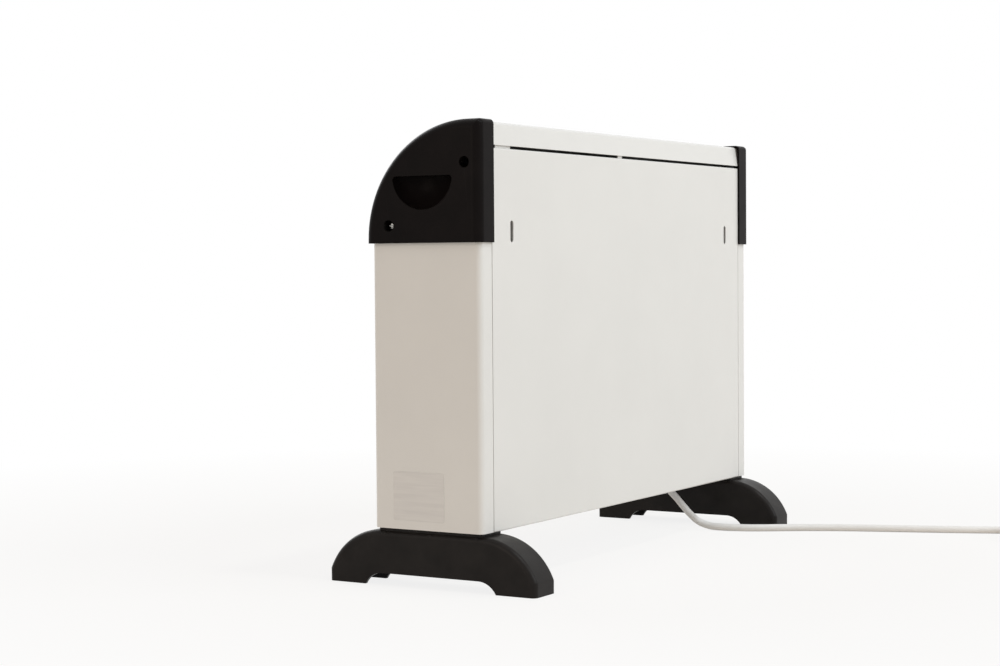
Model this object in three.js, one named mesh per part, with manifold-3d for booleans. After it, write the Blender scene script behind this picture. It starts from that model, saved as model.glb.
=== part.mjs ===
// Electric convector heater that stands on two feet or hangs on a wall.
// Millimetres, +Z up, the front with its air outlet towards -Y, the back panel towards +Y.
// The origin is on the floor, under the middle of the heater without its cord.

import * as THREE from 'three';
import { mergeVertices } from 'three/addons/utils/BufferGeometryUtils.js';
import Module from 'manifold-3d';

const wasm = await Module();
wasm.setup();

// ---------------------------------------------------------------- driving dimensions

const clearance = 0.3; // between pieces that touch
const over = 1; // how far a cutter passes the face it cuts, or a joint enters its neighbour

// Sheet-steel body: front, both ends and the narrow rear flanges are one bent sheet.
const bodyLength = 520;
const bodyDepth = 106;
const bodyBottom = 48.5;
const bodySheet = 0.8;
const bodyBend = 5;
const rearFlange = 17.5;
const endLip = 32;
const frontLip = 12;
const seamLip = 9;

// Plastic end caps, quarter-round in front and flat behind. Drops are measured down from their top.
const capTop = 385.6;
const seamBelowArc = 1;
const capArcRadius = 97;
const capArcSteps = 18;
const capProudOfEnd = 5;
const capProudInFront = 3.7;
const capProudBehind = 2;
const capProudOnTop = 1.5;
const capReach = 18.5;
const capFillet = 8;
const capRearCorner = 4;
const capFaceWall = 2.5;
const capOverlap = 4.3;

// Handle recess in each cap, a round scoop cut off by a flat lip a little below its axis.
const gripRadius = 29.3;
const gripDepth = 20;
const gripWall = 2;
const gripY = 0.2;
const gripLipDrop = 45.2;
const gripAxisRise = 1.4;

// Cap screws and the deep holes they sit in.
const capScrewRadius = 1.6;
const capScrewHeadRadius = 3.6;
const capScrewHeadHeight = 2.4;
const counterboreRadius = 4.7;
const bossWall = 2;
const upperScrewPlace = { y: 40.9, belowTop: 35.2, sink: 20 };
const lowerScrewPlace = { y: -32.9, aboveBottom: 14.4, sink: 8 };
const screwGripLength = 6;
const screwCrossHalf = 0.5;
const screwCrossReach = 2;
const screwCrossDepth = 1.2;

// Curved outlet grille, which ends in a flange at the back.
const grilleUnderCap = 12;
const bodyArcRadius = 93.3;
const grilleFlangeDrop = 20.6;
const grilleFlangeLean = 2.5;
const grilleCorner = 3;
const outletRows = 11;
const outletColumns = 5;
const outletSlotLength = 84;
const outletSlotHeight = 4.6;
const outletColumnPitch = 94;
const outletFirstFacet = 3;
const outletCutterDepth = 6.4;

// Back panel, tucked behind the body's rear flanges.
const panelDrop = 22.9;
const panelBelowBody = 0.5;
const panelEndGap = 10;
const panelCorner = 1.5;
const panelTopLip = 8;
const panelBottomLip = 11;
const panelBottomNotch = 5;
const panelTopNotch = 3;
const panelNotchGap = 1.3;
const panelTabInset = 29;
const panelTabWidth = 24;
const panelMiddleTabX = 13;
const panelMiddleTabWidth = 8;
const panelTabRise = 5.5;
const hangSlotInset = 28;
const hangSlotDrop = 90.9;
const hangSlotWidth = 5;
const hangSlotHeight = 18;
const hangerWidth = 30;
const hangerHeight = 44;
const hangerDepth = 2.5;
const hangerFlange = 7;
const hangerSlope = 1;

// Bottom intake grille.
const intakeRows = 4;
const intakeColumns = 6;
const intakeSlotLength = 62;
const intakeSlotWidth = 7;
const intakeColumnPitch = 72;
const intakeRowPitch = 20;

// Inner steelwork.
const plateSheet = 1;
const plateSetIn = 22;
const plateInset = 3.5;
const plateFlange = 18;
const plateWindow = { halfDepth: 40, belowCap: 10, height: 130 };
const plateVent = { halfDepth: 30, belowCap: 21, height: 100 };
const controlBayLength = 90;
const partitionDrop = 40;
const partitionTrim = 20;
const partitionFlange = 12;
const shieldY = 38;
const shieldSheet = 0.6;
const shieldBottom = 75;
const shieldDrop = 8;
const shieldFlange = 8;

// Feet.
const footHalfLength = 101;
const footThickness = 34;
const footSetIn = 1.5;
const footGap = 2.5;
const footEdgeHeight = 11;
const footArcRadius = 56;
const footFillet = 5;
const footWall = 3;
const footRibPitch = 45;
const archHalfWidth = 64;
const archHeight = 10;
const archCornerRadius = 19;
const neckHalfLength = 50.5;
const neckInset = 3;
const neckRearStep = 0.5;
const neckSink = 2;
const footSkirt = 10;
const footScrewInset = 13;
const footScrewY = 32;
const footScrewRadius = 2;
const footScrewHeadRadius = 4.2;
const footScrewHeadHeight = 2.6;
const footScrewReach = 6;

// Heating elements: ribbon wound round two mica boards, held in ceramic blocks.
const boardThickness = 1;
const boardHeight = 36;
const boardBottom = 116;
const boardEndGap = 9;
const windingPitch = 17;
const windingEndGap = 22;
const ribbonWidth = 1.6;
const ribbonThickness = 0.5;
const blockLength = 12;
const blockWidth = 9;
const blockWall = 2;
const bracketSheet = 1;
const bracketWidth = 48;
const bracketRise = 22;
const bracketShelfDrop = 2;
const bracketShelfReach = 26;
const elements = [
  { label: 'low_power', y: -14 },
  { label: 'high_power', y: 12 },
];

// Thermal cut-out on the partition.
const cutout = { y: 0, z: 205, radius: 8, height: 9, rearRadius: 6 };
const cutoutEar = { length: 24, width: 10, thickness: 1.2 };
const cutoutRearLength = 6;
const cutoutTerminalY = 3.5;

// Hole in the partition that the element leads pass through.
const leadHoleDrop = 33;
const leadHole = { y: -1, z: cutout.z - leadHoleDrop, radius: 9 };

// Controls on the left end wall, measured down from the cap's lower edge.
const fascia = { halfWidth: 36, belowCap: 18, height: 118, thickness: 2, corner: 8 };
const dialBelowCap = 100;
const shaftRadius = 3;
const knobBaseRadius = 19;
const knobTopRadius = 16.5;
const knobHeight = 17;
const knobSkirt = 4;
const knobSkirtBevel = 1;
const knobDraft = 0.6;
const knobRimHeight = 1.5;
const knobRimInset = 2;
const pointerRise = 0.8;
const pointerWidth = 2.4;
const pointerStart = 3;
const pointerEnd = 14;
const knobFloat = 0.5;
const knobFluteCount = 10;
const knobFluteRadius = 2.2;
const knobFluteBite = 1.2;
const knobFluteGap = 0.5;
const knobBoreDepth = 11;
const dialStart = -135;
const bushRadius = 4.6;
const bushRecess = 0.5;
const thermostatBase = { width: 26, height: 26, depth: 14, floor: 1.5 };
const thermostatPlate = { width: 40, height: 30, thickness: 0.8 };
const thermostatTab = { inset: 5, rise: 2 };
const blade = {
  width: 8, thickness: 0.6, foot: 7, kneeRise: 12, kneeReach: 4.5, tipRise: 6, tipReach: 5.5,
};
const switchBelowCap = 48;
const switchYs = [-17, 17];
const bezel = { width: 15, height: 21, thickness: 2, corner: 1.5 };
const switchCase = { width: 12.6, height: 18.8, depth: 19 };
const rockerWell = { width: 10.6, height: 17.2, depth: 7.5 };
const switchTerminalPitch = 6;
const rocker = {
  halfLength: 7.8, crest: 3.6, saddle: 2, saddleHalf: 0.6, skirt: 1.5, keel: 4, keelHalf: 1.5,
};
const rockerTilt = 9;
const rockerPivotInset = 0.5;
const trunnionRadius = 0.9;
const trunnionReach = 0.6;
const bladeTerminal = { width: 4.8, thickness: 0.8, length: 8 };

// Terminal block and internal leads.
const terminalBlock = {
  width: 30, height: 16, depth: 12, y: 8, z: 84, polePitch: 9, poleRadius: 2.2, poleDepth: 3,
};
const leadRadius = 1.3;
const leadStub = 9;
const earthRise = 26;

// Blank rating label on the right end wall.
const label = { y0: -33.5, width: 49.8, aboveBottom: 7.2, height: 40.8, thickness: 0.3, corner: 1.5 };

// Power cord.
const cordRadius = 3.5;
const glandTilt = 38;
const glandFlangeRadius = 9;
const glandNeckRadius = 6;
const glandFlange = 2.3;
const glandTipWall = 1.2;
const glandWaistWall = 1.9;
const glandWaist = 0.6;
const glandShoulder = 0.4;
const coilMeanRadius = 39;
const coilCentre = { x: -271.5, y: 372.3 };
const innerTurnLayers = 2;
const outerTurnLayers = 3;
const tailLength = 32;
const plugBodyRadius = 17.5;
const plugGripRadius = 13.5;
const plugBodyLength = 40;
const plugReliefLength = 16;
const plugReliefWalls = [1, 2.2];
const plugGripStart = 8;
const plugGripEnd = 20;
const plugFlareEnd = 29;
const plugEdge = 1.5;
const plugPinRadius = 2.4;
const plugPinTaper = 2;
const plugPinLength = 19;
const plugPinSocket = 6;
const plugPinSpacing = 19;

// The free cord, from the tip of the gland to the coil.
const cordRoute = [
  [-182.9, 4.5, 36.8],
  [-182.7, 9.5, 32.4],
  [-182.4, 14.5, 27.5],
  [-182.1, 20.0, 21.9],
  [-181.8, 28.0, 14.4],
  [-181.9, 37.0, 8.0],
  [-182.6, 48.0, 4.6],
  [-184.2, 60.0, 3.8],
  [-188.5, 76.0, 3.6],
  [-196.0, 93.0, 3.5],
  [-207.0, 111.0, 3.5],
  [-218.5, 130.0, 3.5],
  [-229.0, 150.0, 3.5],
  [-238.5, 171.0, 3.5],
  [-247.0, 193.0, 3.5],
  [-255.0, 215.0, 3.5],
  [-263.0, 237.0, 3.5],
  [-271.5, 260.0, 3.5],
  [-280.5, 283.0, 3.5],
  [-290.0, 306.0, 3.5],
  [-299.5, 328.0, 3.5],
  [-307.0, 346.0, 3.5],
  [-311.5, 358.0, 3.5],
];

// ---------------------------------------------------------------- derived places

const halfLength = bodyLength / 2;
const frontY = -bodyDepth / 2;
const backY = bodyDepth / 2;
const capInnerX = halfLength - capReach;
const capOuterX = halfLength + capProudOfEnd;
const capOutline = {
  front: frontY - capProudInFront,
  back: backY + capProudBehind,
  top: capTop,
  radius: capArcRadius,
  corner: capRearCorner,
};
const bodyOutline = {
  front: frontY,
  back: backY,
  top: capTop - capProudOnTop,
  radius: bodyArcRadius,
  corner: capRearCorner - capProudBehind,
};
const bodyArcCentre = { y: frontY + bodyArcRadius, z: bodyOutline.top - bodyArcRadius };
const bodySeamZ = bodyArcCentre.z - seamBelowArc;
const capBottom = bodySeamZ - capOverlap;
const gripLipZ = capTop - gripLipDrop;
const upperScrew = { ...upperScrewPlace, label: 'upper', z: capTop - upperScrewPlace.belowTop };
const lowerScrew = { ...lowerScrewPlace, label: 'lower', z: capBottom + lowerScrewPlace.aboveBottom };
const grilleFlangeBottom = capTop - grilleFlangeDrop;
const plateX = halfLength - plateSetIn;
const lipHalfLength = plateX - 2 * over;
const partitionX = controlBayLength - halfLength;
const partitionTop = capTop - partitionDrop;
const shieldTop = capTop - shieldDrop;
const panelY = backY - bodySheet - clearance;
const panelLipY = panelY - panelBottomLip;
const panelTop = capTop - panelDrop;
const panelBottom = bodyBottom - panelBelowBody;
const panelHalfWidth = halfLength - panelEndGap;
const panelTabs = [
  { x: panelTabInset - panelHalfWidth, width: panelTabWidth },
  { x: panelMiddleTabX, width: panelMiddleTabWidth },
  { x: panelHalfWidth - panelTabInset, width: panelTabWidth },
];
const hangSlotX = plateX - hangSlotInset;
const hangSlotZ = capTop - hangSlotDrop;
const intakeZ = bodyBottom + bodySheet + clearance;
const footTop = bodyBottom - footGap;
const footScrewX = halfLength - footScrewInset;
const footInnerX = halfLength - footSetIn - footThickness;
const footOuterX = halfLength - footSetIn;
const footArcCentreZ = footTop - footArcRadius;
const footArcCentreY =
  footHalfLength - Math.sqrt(footArcRadius ** 2 - (footEdgeHeight - footArcCentreZ) ** 2);
const neckTop = bodyBottom - clearance;
const fasciaTop = capBottom - fascia.belowCap;
const fasciaOuterX = -halfLength - clearance - fascia.thickness;
const dialZ = capBottom - dialBelowCap;
const switchZ = capBottom - switchBelowCap;
const knobInnerX = fasciaOuterX - knobFloat;
const knobOuterX = knobInnerX - knobHeight;
const rockerPivotX = fasciaOuterX - clearance - rockerPivotInset;
const thermostatPlateX = -halfLength + bodySheet + clearance;
const thermostatBaseX = thermostatPlateX + thermostatPlate.thickness + clearance;
const switchTerminalX = fasciaOuterX - clearance + switchCase.depth + bladeTerminal.length;
const blockX = partitionX - bodySheet - clearance;
const blockMiddleX = blockX - terminalBlock.depth / 2;
const cutoutTerminalX = partitionX - cutoutRearLength - bladeTerminal.length;
const boardEnds = { x0: partitionX + boardEndGap, x1: plateX - boardEndGap };
const boardTop = boardBottom + boardHeight;
const bracketShelfTop = boardBottom - bracketShelfDrop;
const glandTip = new THREE.Vector3(...cordRoute[0]);
const glandAxis = new THREE.Vector3(0, 1, 0).applyAxisAngle(
  new THREE.Vector3(1, 0, 0), THREE.MathUtils.degToRad(-glandTilt));
const glandLength = (intakeZ - glandTip.z) / -glandAxis.z;
const glandBase = glandTip.clone().addScaledVector(glandAxis, -glandLength);
const coilInnerRadius = coilMeanRadius - 2 * cordRadius;
const coilOuterRadius = coilMeanRadius + 2 * cordRadius;
const tailY = coilCentre.y + coilMeanRadius + cordRadius;
const tailZ = (2 * outerTurnLayers - 1) * cordRadius;
const plugX = coilCentre.x + tailLength + clearance;
const plugFaceX = plugX + plugReliefLength + plugBodyLength;
const originShift = -(knobOuterX - pointerRise + capOuterX) / 2;

// ---------------------------------------------------------------- materials

const finish = (color, roughness, metalness) =>
  new THREE.MeshStandardMaterial({ color, roughness, metalness });

const materials = {
  whiteSteel: finish('#e6e5e1', 0.38, 0.1),
  blackPlastic: finish('#1d1b1a', 0.48, 0),
  galvanised: finish('#a7abad', 0.42, 0.9),
  screwSteel: finish('#b9bcbe', 0.3, 1),
  mica: finish('#b79f74', 0.6, 0),
  ribbon: finish('#8b8178', 0.45, 0.9),
  ceramic: finish('#e9e3d4', 0.7, 0),
  brass: finish('#c9a64b', 0.35, 0.95),
  switchRed: finish('#a8171a', 0.3, 0),
  whiteCord: finish('#dcdad6', 0.5, 0),
  labelFoil: finish('#b9b3ab', 0.45, 0.2),
  blueLead: finish('#2d5fa8', 0.5, 0),
  brownLead: finish('#6b3f22', 0.5, 0),
  whiteLead: finish('#d8d4cb', 0.6, 0),
  earthLead: finish('#8fae2a', 0.5, 0),
};

// ---------------------------------------------------------------- shape helpers

const point = (x, y) => new THREE.Vector2(x, y);
const radians = THREE.MathUtils.degToRad;

// Points along an arc in a plane, from one angle to another in degrees.
function arc(cx, cy, radius, from, to, steps) {
  return Array.from({ length: steps + 1 }, (_, i) => {
    const angle = radians(from + ((to - from) * i) / steps);
    return point(cx + radius * Math.cos(angle), cy + radius * Math.sin(angle));
  });
}

function rectangle(x0, x1, y0, y1) {
  return [point(x0, y0), point(x1, y0), point(x1, y1), point(x0, y1)];
}

function roundedRectangle(x0, x1, y0, y1, radius, steps = 3) {
  return [
    ...arc(x1 - radius, y0 + radius, radius, -90, 0, steps),
    ...arc(x1 - radius, y1 - radius, radius, 0, 90, steps),
    ...arc(x0 + radius, y1 - radius, radius, 90, 180, steps),
    ...arc(x0 + radius, y0 + radius, radius, 180, 270, steps),
  ];
}

const rightNormal = (from, to) => {
  const along = to.clone().sub(from).normalize();
  return point(along.y, -along.x);
};

// The outline of a bent sheet, from the path of one face; the sheet lies to the right of the path.
function sheetOutline(path, thickness) {
  const offset = path.map((p, i) => {
    const before = i > 0 ? rightNormal(path[i - 1], p) : rightNormal(p, path[i + 1]);
    const after = i < path.length - 1 ? rightNormal(p, path[i + 1]) : before;
    const mitre = before.clone().add(after).normalize();
    return p.clone().addScaledVector(mitre, thickness / mitre.dot(before));
  });
  return [...path, ...offset.reverse()];
}

function extrude(outline, depth, holes = []) {
  const shape = new THREE.Shape(outline);
  shape.holes = holes.map((hole) => new THREE.Path(hole));
  return new THREE.ExtrudeGeometry(shape, { depth, bevelEnabled: false });
}

// Prisms along each axis; outlines are (y, z), (x, z) and (x, y).
const axisX = new THREE.Matrix4().makeBasis(
  new THREE.Vector3(0, 1, 0), new THREE.Vector3(0, 0, 1), new THREE.Vector3(1, 0, 0));
const axisY = new THREE.Matrix4().makeBasis(
  new THREE.Vector3(1, 0, 0), new THREE.Vector3(0, 0, 1), new THREE.Vector3(0, -1, 0));

function prismX(outline, x0, x1, holes) {
  return solid(extrude(outline, x1 - x0, holes).applyMatrix4(axisX).translate(x0, 0, 0));
}

function prismY(outline, y0, y1, holes) {
  return solid(extrude(outline, y1 - y0, holes).applyMatrix4(axisY).translate(0, y1, 0));
}

function prismZ(outline, z0, z1, holes) {
  return solid(extrude(outline, z1 - z0, holes).translate(0, 0, z0));
}

const box = (x0, x1, y0, y1, z0, z1) => prismZ(rectangle(x0, x1, y0, y1), z0, z1);
const cylinderX = (radius, x0, x1, y, z, sides = 16) =>
  prismX(arc(y, z, radius, 0, 360 - 360 / sides, sides - 1), x0, x1);
const cylinderY = (radius, y0, y1, x, z, sides = 16) =>
  prismY(arc(x, z, radius, 0, 360 - 360 / sides, sides - 1), y0, y1);
const cylinderZ = (radius, z0, z1, x, y, sides = 16) =>
  prismZ(arc(x, y, radius, 0, 360 - 360 / sides, sides - 1), z0, z1);

// A manifold solid from a closed three.js geometry.
function solid(geometry) {
  const triangles = geometry.index ? geometry.toNonIndexed() : geometry;
  const bare = new THREE.BufferGeometry();
  bare.setAttribute('position', triangles.getAttribute('position'));
  const merged = mergeVertices(bare, 1e-3);
  return new wasm.Manifold(new wasm.Mesh({
    numProp: 3,
    vertProperties: merged.attributes.position.array,
    triVerts: new Uint32Array(merged.index.array),
  }));
}

function geometryOf(body) {
  const { numProp, vertProperties, triVerts } = body.getMesh();
  const positions = new Float32Array((vertProperties.length / numProp) * 3);
  for (let i = 0; i * numProp < vertProperties.length; i += 1) {
    positions.set(vertProperties.subarray(i * numProp, i * numProp + 3), i * 3);
  }
  const geometry = new THREE.BufferGeometry();
  geometry.setAttribute('position', new THREE.BufferAttribute(positions, 3));
  geometry.setIndex(new THREE.BufferAttribute(new Uint32Array(triVerts), 1));
  geometry.computeVertexNormals();
  return geometry;
}

const inOrder = (a, b) => (a < b ? [a, b] : [b, a]);
const join = (...bodies) => bodies.reduce((whole, body) => whole.add(body));
const cut = (body, ...cutters) => cutters.reduce((rest, cutter) => rest.subtract(cutter), body);

// A closed skin through rings of equal length; the two end rings are convex.
function loft(rings) {
  const count = rings[0].length;
  const positions = rings.flat().flatMap((p) => [p.x, p.y, p.z]);
  const index = [];
  for (let r = 0; r + 1 < rings.length; r += 1) {
    for (let i = 0; i < count; i += 1) {
      const a = r * count + i;
      const b = r * count + ((i + 1) % count);
      index.push(a, b, b + count, a, b + count, a + count);
    }
  }
  const last = (rings.length - 1) * count;
  for (let i = 1; i + 1 < count; i += 1) {
    index.push(0, i + 1, i, last, last + i, last + i + 1);
  }
  const geometry = new THREE.BufferGeometry();
  geometry.setAttribute('position', new THREE.Float32BufferAttribute(positions, 3));
  geometry.setIndex(index);
  const body = solid(geometry);
  return body.volume() > 0 ? body : loft([...rings].reverse());
}

// A round tube along a smooth curve through the points.
function tube(points, radius, sides, steps) {
  const places = points.map((p) => new THREE.Vector3(...p));
  const path = new THREE.CatmullRomCurve3(places, false, 'centripetal');
  const section = new THREE.Shape(arc(0, 0, radius, 0, 360 - 360 / sides, sides - 1));
  return solid(new THREE.ExtrudeGeometry(section, { steps, extrudePath: path, bevelEnabled: false }));
}

// A turned body round an axis along X; the outline is (radius, x) pairs, from axis to axis.
function turnedX(outline, y, z, sides = 24) {
  const geometry = new THREE.LatheGeometry(outline.map(([radius, x]) => point(radius, x)), sides);
  const body = solid(geometry.rotateZ(-Math.PI / 2).translate(0, y, z));
  return body.volume() > 0 ? body : solid(flipped(geometry));
}

function flipped(geometry) {
  const index = geometry.index.array;
  for (let i = 0; i < index.length; i += 3) {
    [index[i + 1], index[i + 2]] = [index[i + 2], index[i + 1]];
  }
  return geometry;
}

function addPiece(parent, name, body, material) {
  const mesh = new THREE.Mesh(geometryOf(body), material);
  mesh.name = name;
  parent.add(mesh);
  return mesh;
}

// ---------------------------------------------------------------- profiles

// The cap's or the body's side outline as (y, z), set in by a distance.
function sideProfile({ front, back, top, radius, corner }, inset, bottom, arcSteps = capArcSteps) {
  const kept = Math.max(corner - inset, 0.5);
  return [
    point(front + inset, bottom),
    ...arc(front + radius, top - radius, radius - inset, 180, 90, arcSteps),
    ...arc(back - inset - kept, top - inset - kept, kept, 90, 0, 3),
    point(back - inset, bottom),
  ];
}

function capProfile(inset, bottom) {
  return sideProfile(capOutline, inset, bottom);
}

function bodyProfile(inset, bottom, arcSteps) {
  return sideProfile(bodyOutline, inset, bottom, arcSteps);
}

// The foot's side outline as (y, z) without its arch, set in by a distance.
function footProfile(inset, bottom) {
  const reach = footHalfLength - inset;
  const radius = footArcRadius - inset;
  const startAngle = (Math.asin((footEdgeHeight - footArcCentreZ) / footArcRadius) * 180) / Math.PI;
  return [
    point(-reach, bottom),
    ...arc(-footArcCentreY, footArcCentreZ, radius, 180 - startAngle, 90, 8),
    ...arc(footArcCentreY, footArcCentreZ, radius, 90, startAngle, 8),
    point(reach, bottom),
  ];
}

function archProfile() {
  const centreZ = archHeight - archCornerRadius;
  const centreY = archHalfWidth - Math.sqrt(archCornerRadius ** 2 - centreZ ** 2);
  const below = -archHeight / 2;
  const startAngle = (Math.asin((below - centreZ) / archCornerRadius) * 180) / Math.PI;
  return [
    ...arc(-centreY, centreZ, archCornerRadius, 180 - startAngle, 90, 5),
    ...arc(centreY, centreZ, archCornerRadius, 90, startAngle, 5),
  ];
}

// Rings of a profile whose outer edge is rounded over a fillet, towards +X.
function filletedRings(profile, innerX, outerX, fillet, extraInset, bottom, steps = 4) {
  const ring = (inset, x) =>
    profile(inset + extraInset, bottom).map((p) => new THREE.Vector3(x, p.x, p.y));
  const rings = [ring(0, innerX)];
  for (let i = 0; i <= steps; i += 1) {
    const angle = radians((90 * i) / steps);
    rings.push(ring(fillet * (1 - Math.cos(angle)), outerX - fillet + fillet * Math.sin(angle)));
  }
  return rings;
}

// ---------------------------------------------------------------- body sheets

function casingWrap() {
  const rightHalf = [
    point(halfLength - rearFlange, backY),
    ...arc(halfLength - bodyBend, backY - bodyBend, bodyBend, 90, 0, 4),
    ...arc(halfLength - bodyBend, frontY + bodyBend, bodyBend, 0, -90, 4),
  ];
  const leftHalf = rightHalf.map((p) => point(-p.x, p.y)).reverse();
  const walls = prismZ(sheetOutline([...rightHalf, ...leftHalf], bodySheet), bodyBottom, bodySeamZ);
  const innerWall = halfLength - bodySheet / 2;
  const lipTop = bodyBottom + bodySheet;
  const lipFront = frontY + bodyBend + over;
  const lips = [1, -1].map((side) => {
    const [x0, x1] = inOrder(side * (halfLength - endLip), side * innerWall);
    return box(x0, x1, lipFront, panelLipY - clearance, bodyBottom, lipTop);
  });
  const frontInner = frontY + bodySheet / 2;
  const bottomFront = box(-footInnerX, footInnerX, frontInner, frontY + frontLip, bodyBottom, lipTop);
  const topFront = box(-lipHalfLength, lipHalfLength, frontInner, frontY + seamLip,
    bodySeamZ - bodySheet, bodySeamZ);
  const screwHoles = [1, -1].flatMap((sideX) => [1, -1].map((sideY) =>
    cylinderZ(footScrewRadius + clearance, bodyBottom - over, lipTop + over,
      sideX * footScrewX, sideY * footScrewY, 12)));
  const wallInside = -halfLength + bodySheet + over;
  const wallCutters = [
    cylinderX(bushRadius + clearance, -halfLength - over, wallInside, 0, dialZ),
    ...switchYs.map((y) => switchHole(y, -halfLength - over, wallInside)),
  ];
  return cut(join(walls, ...lips, bottomFront, topFront), ...screwHoles, ...wallCutters);
}

// The opening that a switch case snaps into.
function switchHole(y, x0, x1) {
  const halfWidth = switchCase.width / 2 + clearance;
  const halfHeight = switchCase.height / 2 + clearance;
  return box(x0, x1, y - halfWidth, y + halfWidth, switchZ - halfHeight, switchZ + halfHeight);
}

function topGrille() {
  const front = frontY;
  const radius = bodyArcRadius;
  const lipZ = bodySeamZ + clearance;
  const { top } = bodyOutline;
  const flangeTopY = backY - grilleFlangeLean;
  const path = [
    point(front + seamLip, lipZ),
    point(front, lipZ),
    ...arc(bodyArcCentre.y, bodyArcCentre.z, radius, 180, 90, capArcSteps),
    ...arc(flangeTopY - grilleCorner, top - grilleCorner, grilleCorner, 90, 0, 3),
    point(backY, grilleFlangeBottom),
  ];
  const reach = capInnerX + grilleUnderCap;
  const lipTrim = [1, -1].map((side) => {
    const [x0, x1] = inOrder(side * lipHalfLength, side * (reach + over));
    return box(x0, x1, front + bodySheet + clearance, front + seamLip + over,
      lipZ - over, lipZ + bodySheet + over);
  });
  const facet = 90 / capArcSteps;
  const slots = [];
  for (let row = 0; row < outletRows; row += 1) {
    const angle = 180 - facet * (outletFirstFacet + row + 0.5);
    const [middle] = arc(bodyArcCentre.y, bodyArcCentre.z, radius, angle, angle, 1);
    for (let column = 0; column < outletColumns; column += 1) {
      const x = (column - (outletColumns - 1) / 2) * outletColumnPitch;
      const cutter = new THREE.BoxGeometry(outletSlotLength, outletCutterDepth, outletSlotHeight);
      slots.push(solid(cutter.rotateX(radians(angle)).translate(x, middle.x, middle.y)));
    }
  }
  return cut(prismX(sheetOutline(path, bodySheet), -reach, reach), ...lipTrim, ...slots);
}

function backPanel() {
  const sheet = bodySheet;
  const path = [
    point(panelLipY, panelBottom),
    ...arc(panelY - panelCorner, panelBottom + panelCorner, panelCorner, -90, 0, 2),
    ...arc(panelY - panelCorner, panelTop - panelCorner, panelCorner, 0, 90, 2),
    point(panelY - panelTopLip, panelTop),
  ];
  // The path runs up the back, so the sheet has to lie on its left: follow it from the top down.
  const full = prismX(sheetOutline([...path].reverse(), sheet), -panelHalfWidth, panelHalfWidth);
  const wing = (side, edge, z0, z1) => {
    const [x0, x1] = inOrder(side * edge, side * (panelHalfWidth + over));
    return box(x0, x1, panelLipY - over, panelY + over, z0, z1);
  };
  const lipEdge = (side) => {
    const [x0, x1] = inOrder(side * lipHalfLength, side * (panelHalfWidth + over));
    return box(x0, x1, panelLipY - over, panelY - sheet, panelBottom - over, panelTop + over);
  };
  const notchEdge = halfLength - rearFlange - panelNotchGap;
  const slots = [1, -1].map((side) => {
    const half = hangSlotWidth / 2;
    const outline = [
      ...arc(side * hangSlotX, hangSlotZ + hangSlotHeight / 2 - half, half, 0, 180, 3),
      ...arc(side * hangSlotX, hangSlotZ - hangSlotHeight / 2 + half, half, 180, 360, 3),
    ];
    return prismY(outline, panelY - sheet - over, panelY + over);
  });
  const tabs = panelTabs.map(({ x, width }) => box(x - width / 2, x + width / 2,
    panelY - 2 * sheet, panelY - sheet, panelTop - sheet, panelTop + panelTabRise));
  const trimmed = cut(full, ...[1, -1].flatMap((side) => [
    wing(side, notchEdge, panelBottom - over, bodyBottom + panelBottomNotch),
    wing(side, notchEdge, panelTop - panelTopNotch, panelTop + over),
    lipEdge(side),
  ]), ...slots);
  return join(trimmed, ...tabs);
}

// Hat-section stiffener behind each hanging slot.
function hangerBracket() {
  const inner = panelY - bodySheet - clearance;
  const half = hangerWidth / 2;
  const hat = half - hangerFlange;
  const path = [
    point(hangSlotX - half, inner),
    point(hangSlotX - hat, inner),
    point(hangSlotX - hat + hangerSlope, inner - hangerDepth),
    point(hangSlotX + hat - hangerSlope, inner - hangerDepth),
    point(hangSlotX + hat, inner),
    point(hangSlotX + half, inner),
  ];
  return prismZ(sheetOutline(path, bodySheet), hangSlotZ - hangerHeight / 2, hangSlotZ + hangerHeight / 2);
}

function bottomGrille() {
  const halfWidth = plateX - clearance;
  const y0 = frontY + bodySheet + clearance;
  const y1 = panelY - bodySheet - clearance;
  const plate = box(-halfWidth, halfWidth, y0, y1, intakeZ, intakeZ + bodySheet);
  const slots = [];
  for (let row = 0; row < intakeRows; row += 1) {
    for (let column = 0; column < intakeColumns; column += 1) {
      const x = (column - (intakeColumns - 1) / 2) * intakeColumnPitch;
      const y = (row - (intakeRows - 1) / 2) * intakeRowPitch;
      if (Math.hypot(x - glandBase.x, y - glandBase.y) < intakeSlotLength / 2 + 2 * glandFlangeRadius) {
        continue; // plain metal round the cord's gland
      }
      slots.push(box(x - intakeSlotLength / 2, x + intakeSlotLength / 2,
        y - intakeSlotWidth / 2, y + intakeSlotWidth / 2, intakeZ - over, intakeZ + bodySheet + over));
    }
  }
  const glandHole = cylinderZ(
    glandNeckRadius + clearance, intakeZ - over, intakeZ + bodySheet + over, glandBase.x, glandBase.y);
  return cut(plate, ...slots, glandHole);
}

// ---------------------------------------------------------------- ends, mirrored for the left

function endCap() {
  const outer = loft(filletedRings(capProfile, capInnerX, capOuterX, capFillet, 0, capBottom));
  const cavity = loft(filletedRings(bodyProfile, capInnerX - over, capOuterX - capFaceWall,
    capFillet - capFaceWall, -clearance, capBottom + capFaceWall));
  const casingRoom = box(capInnerX - over, halfLength + clearance, frontY - clearance, backY + clearance,
    capBottom - over, bodySeamZ + clearance);
  const shell = cut(outer, cavity);
  const bosses = [upperScrew, lowerScrew].map(({ y, z }) =>
    cylinderX(counterboreRadius + bossWall, plateX + plateSheet + clearance, capOuterX - over, y, z, 20));
  const grip = gripScoop(gripWall).intersect(outer);
  const holes = [upperScrew, lowerScrew].flatMap(({ y, z, sink }) => [
    cylinderX(counterboreRadius, capOuterX - sink, capOuterX + over, y, z, 20),
    cylinderX(capScrewRadius + clearance, plateX, capOuterX, y, z, 12),
  ]);
  return cut(join(shell, ...bosses, grip), casingRoom, gripScoop(0), ...holes);
}

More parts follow.
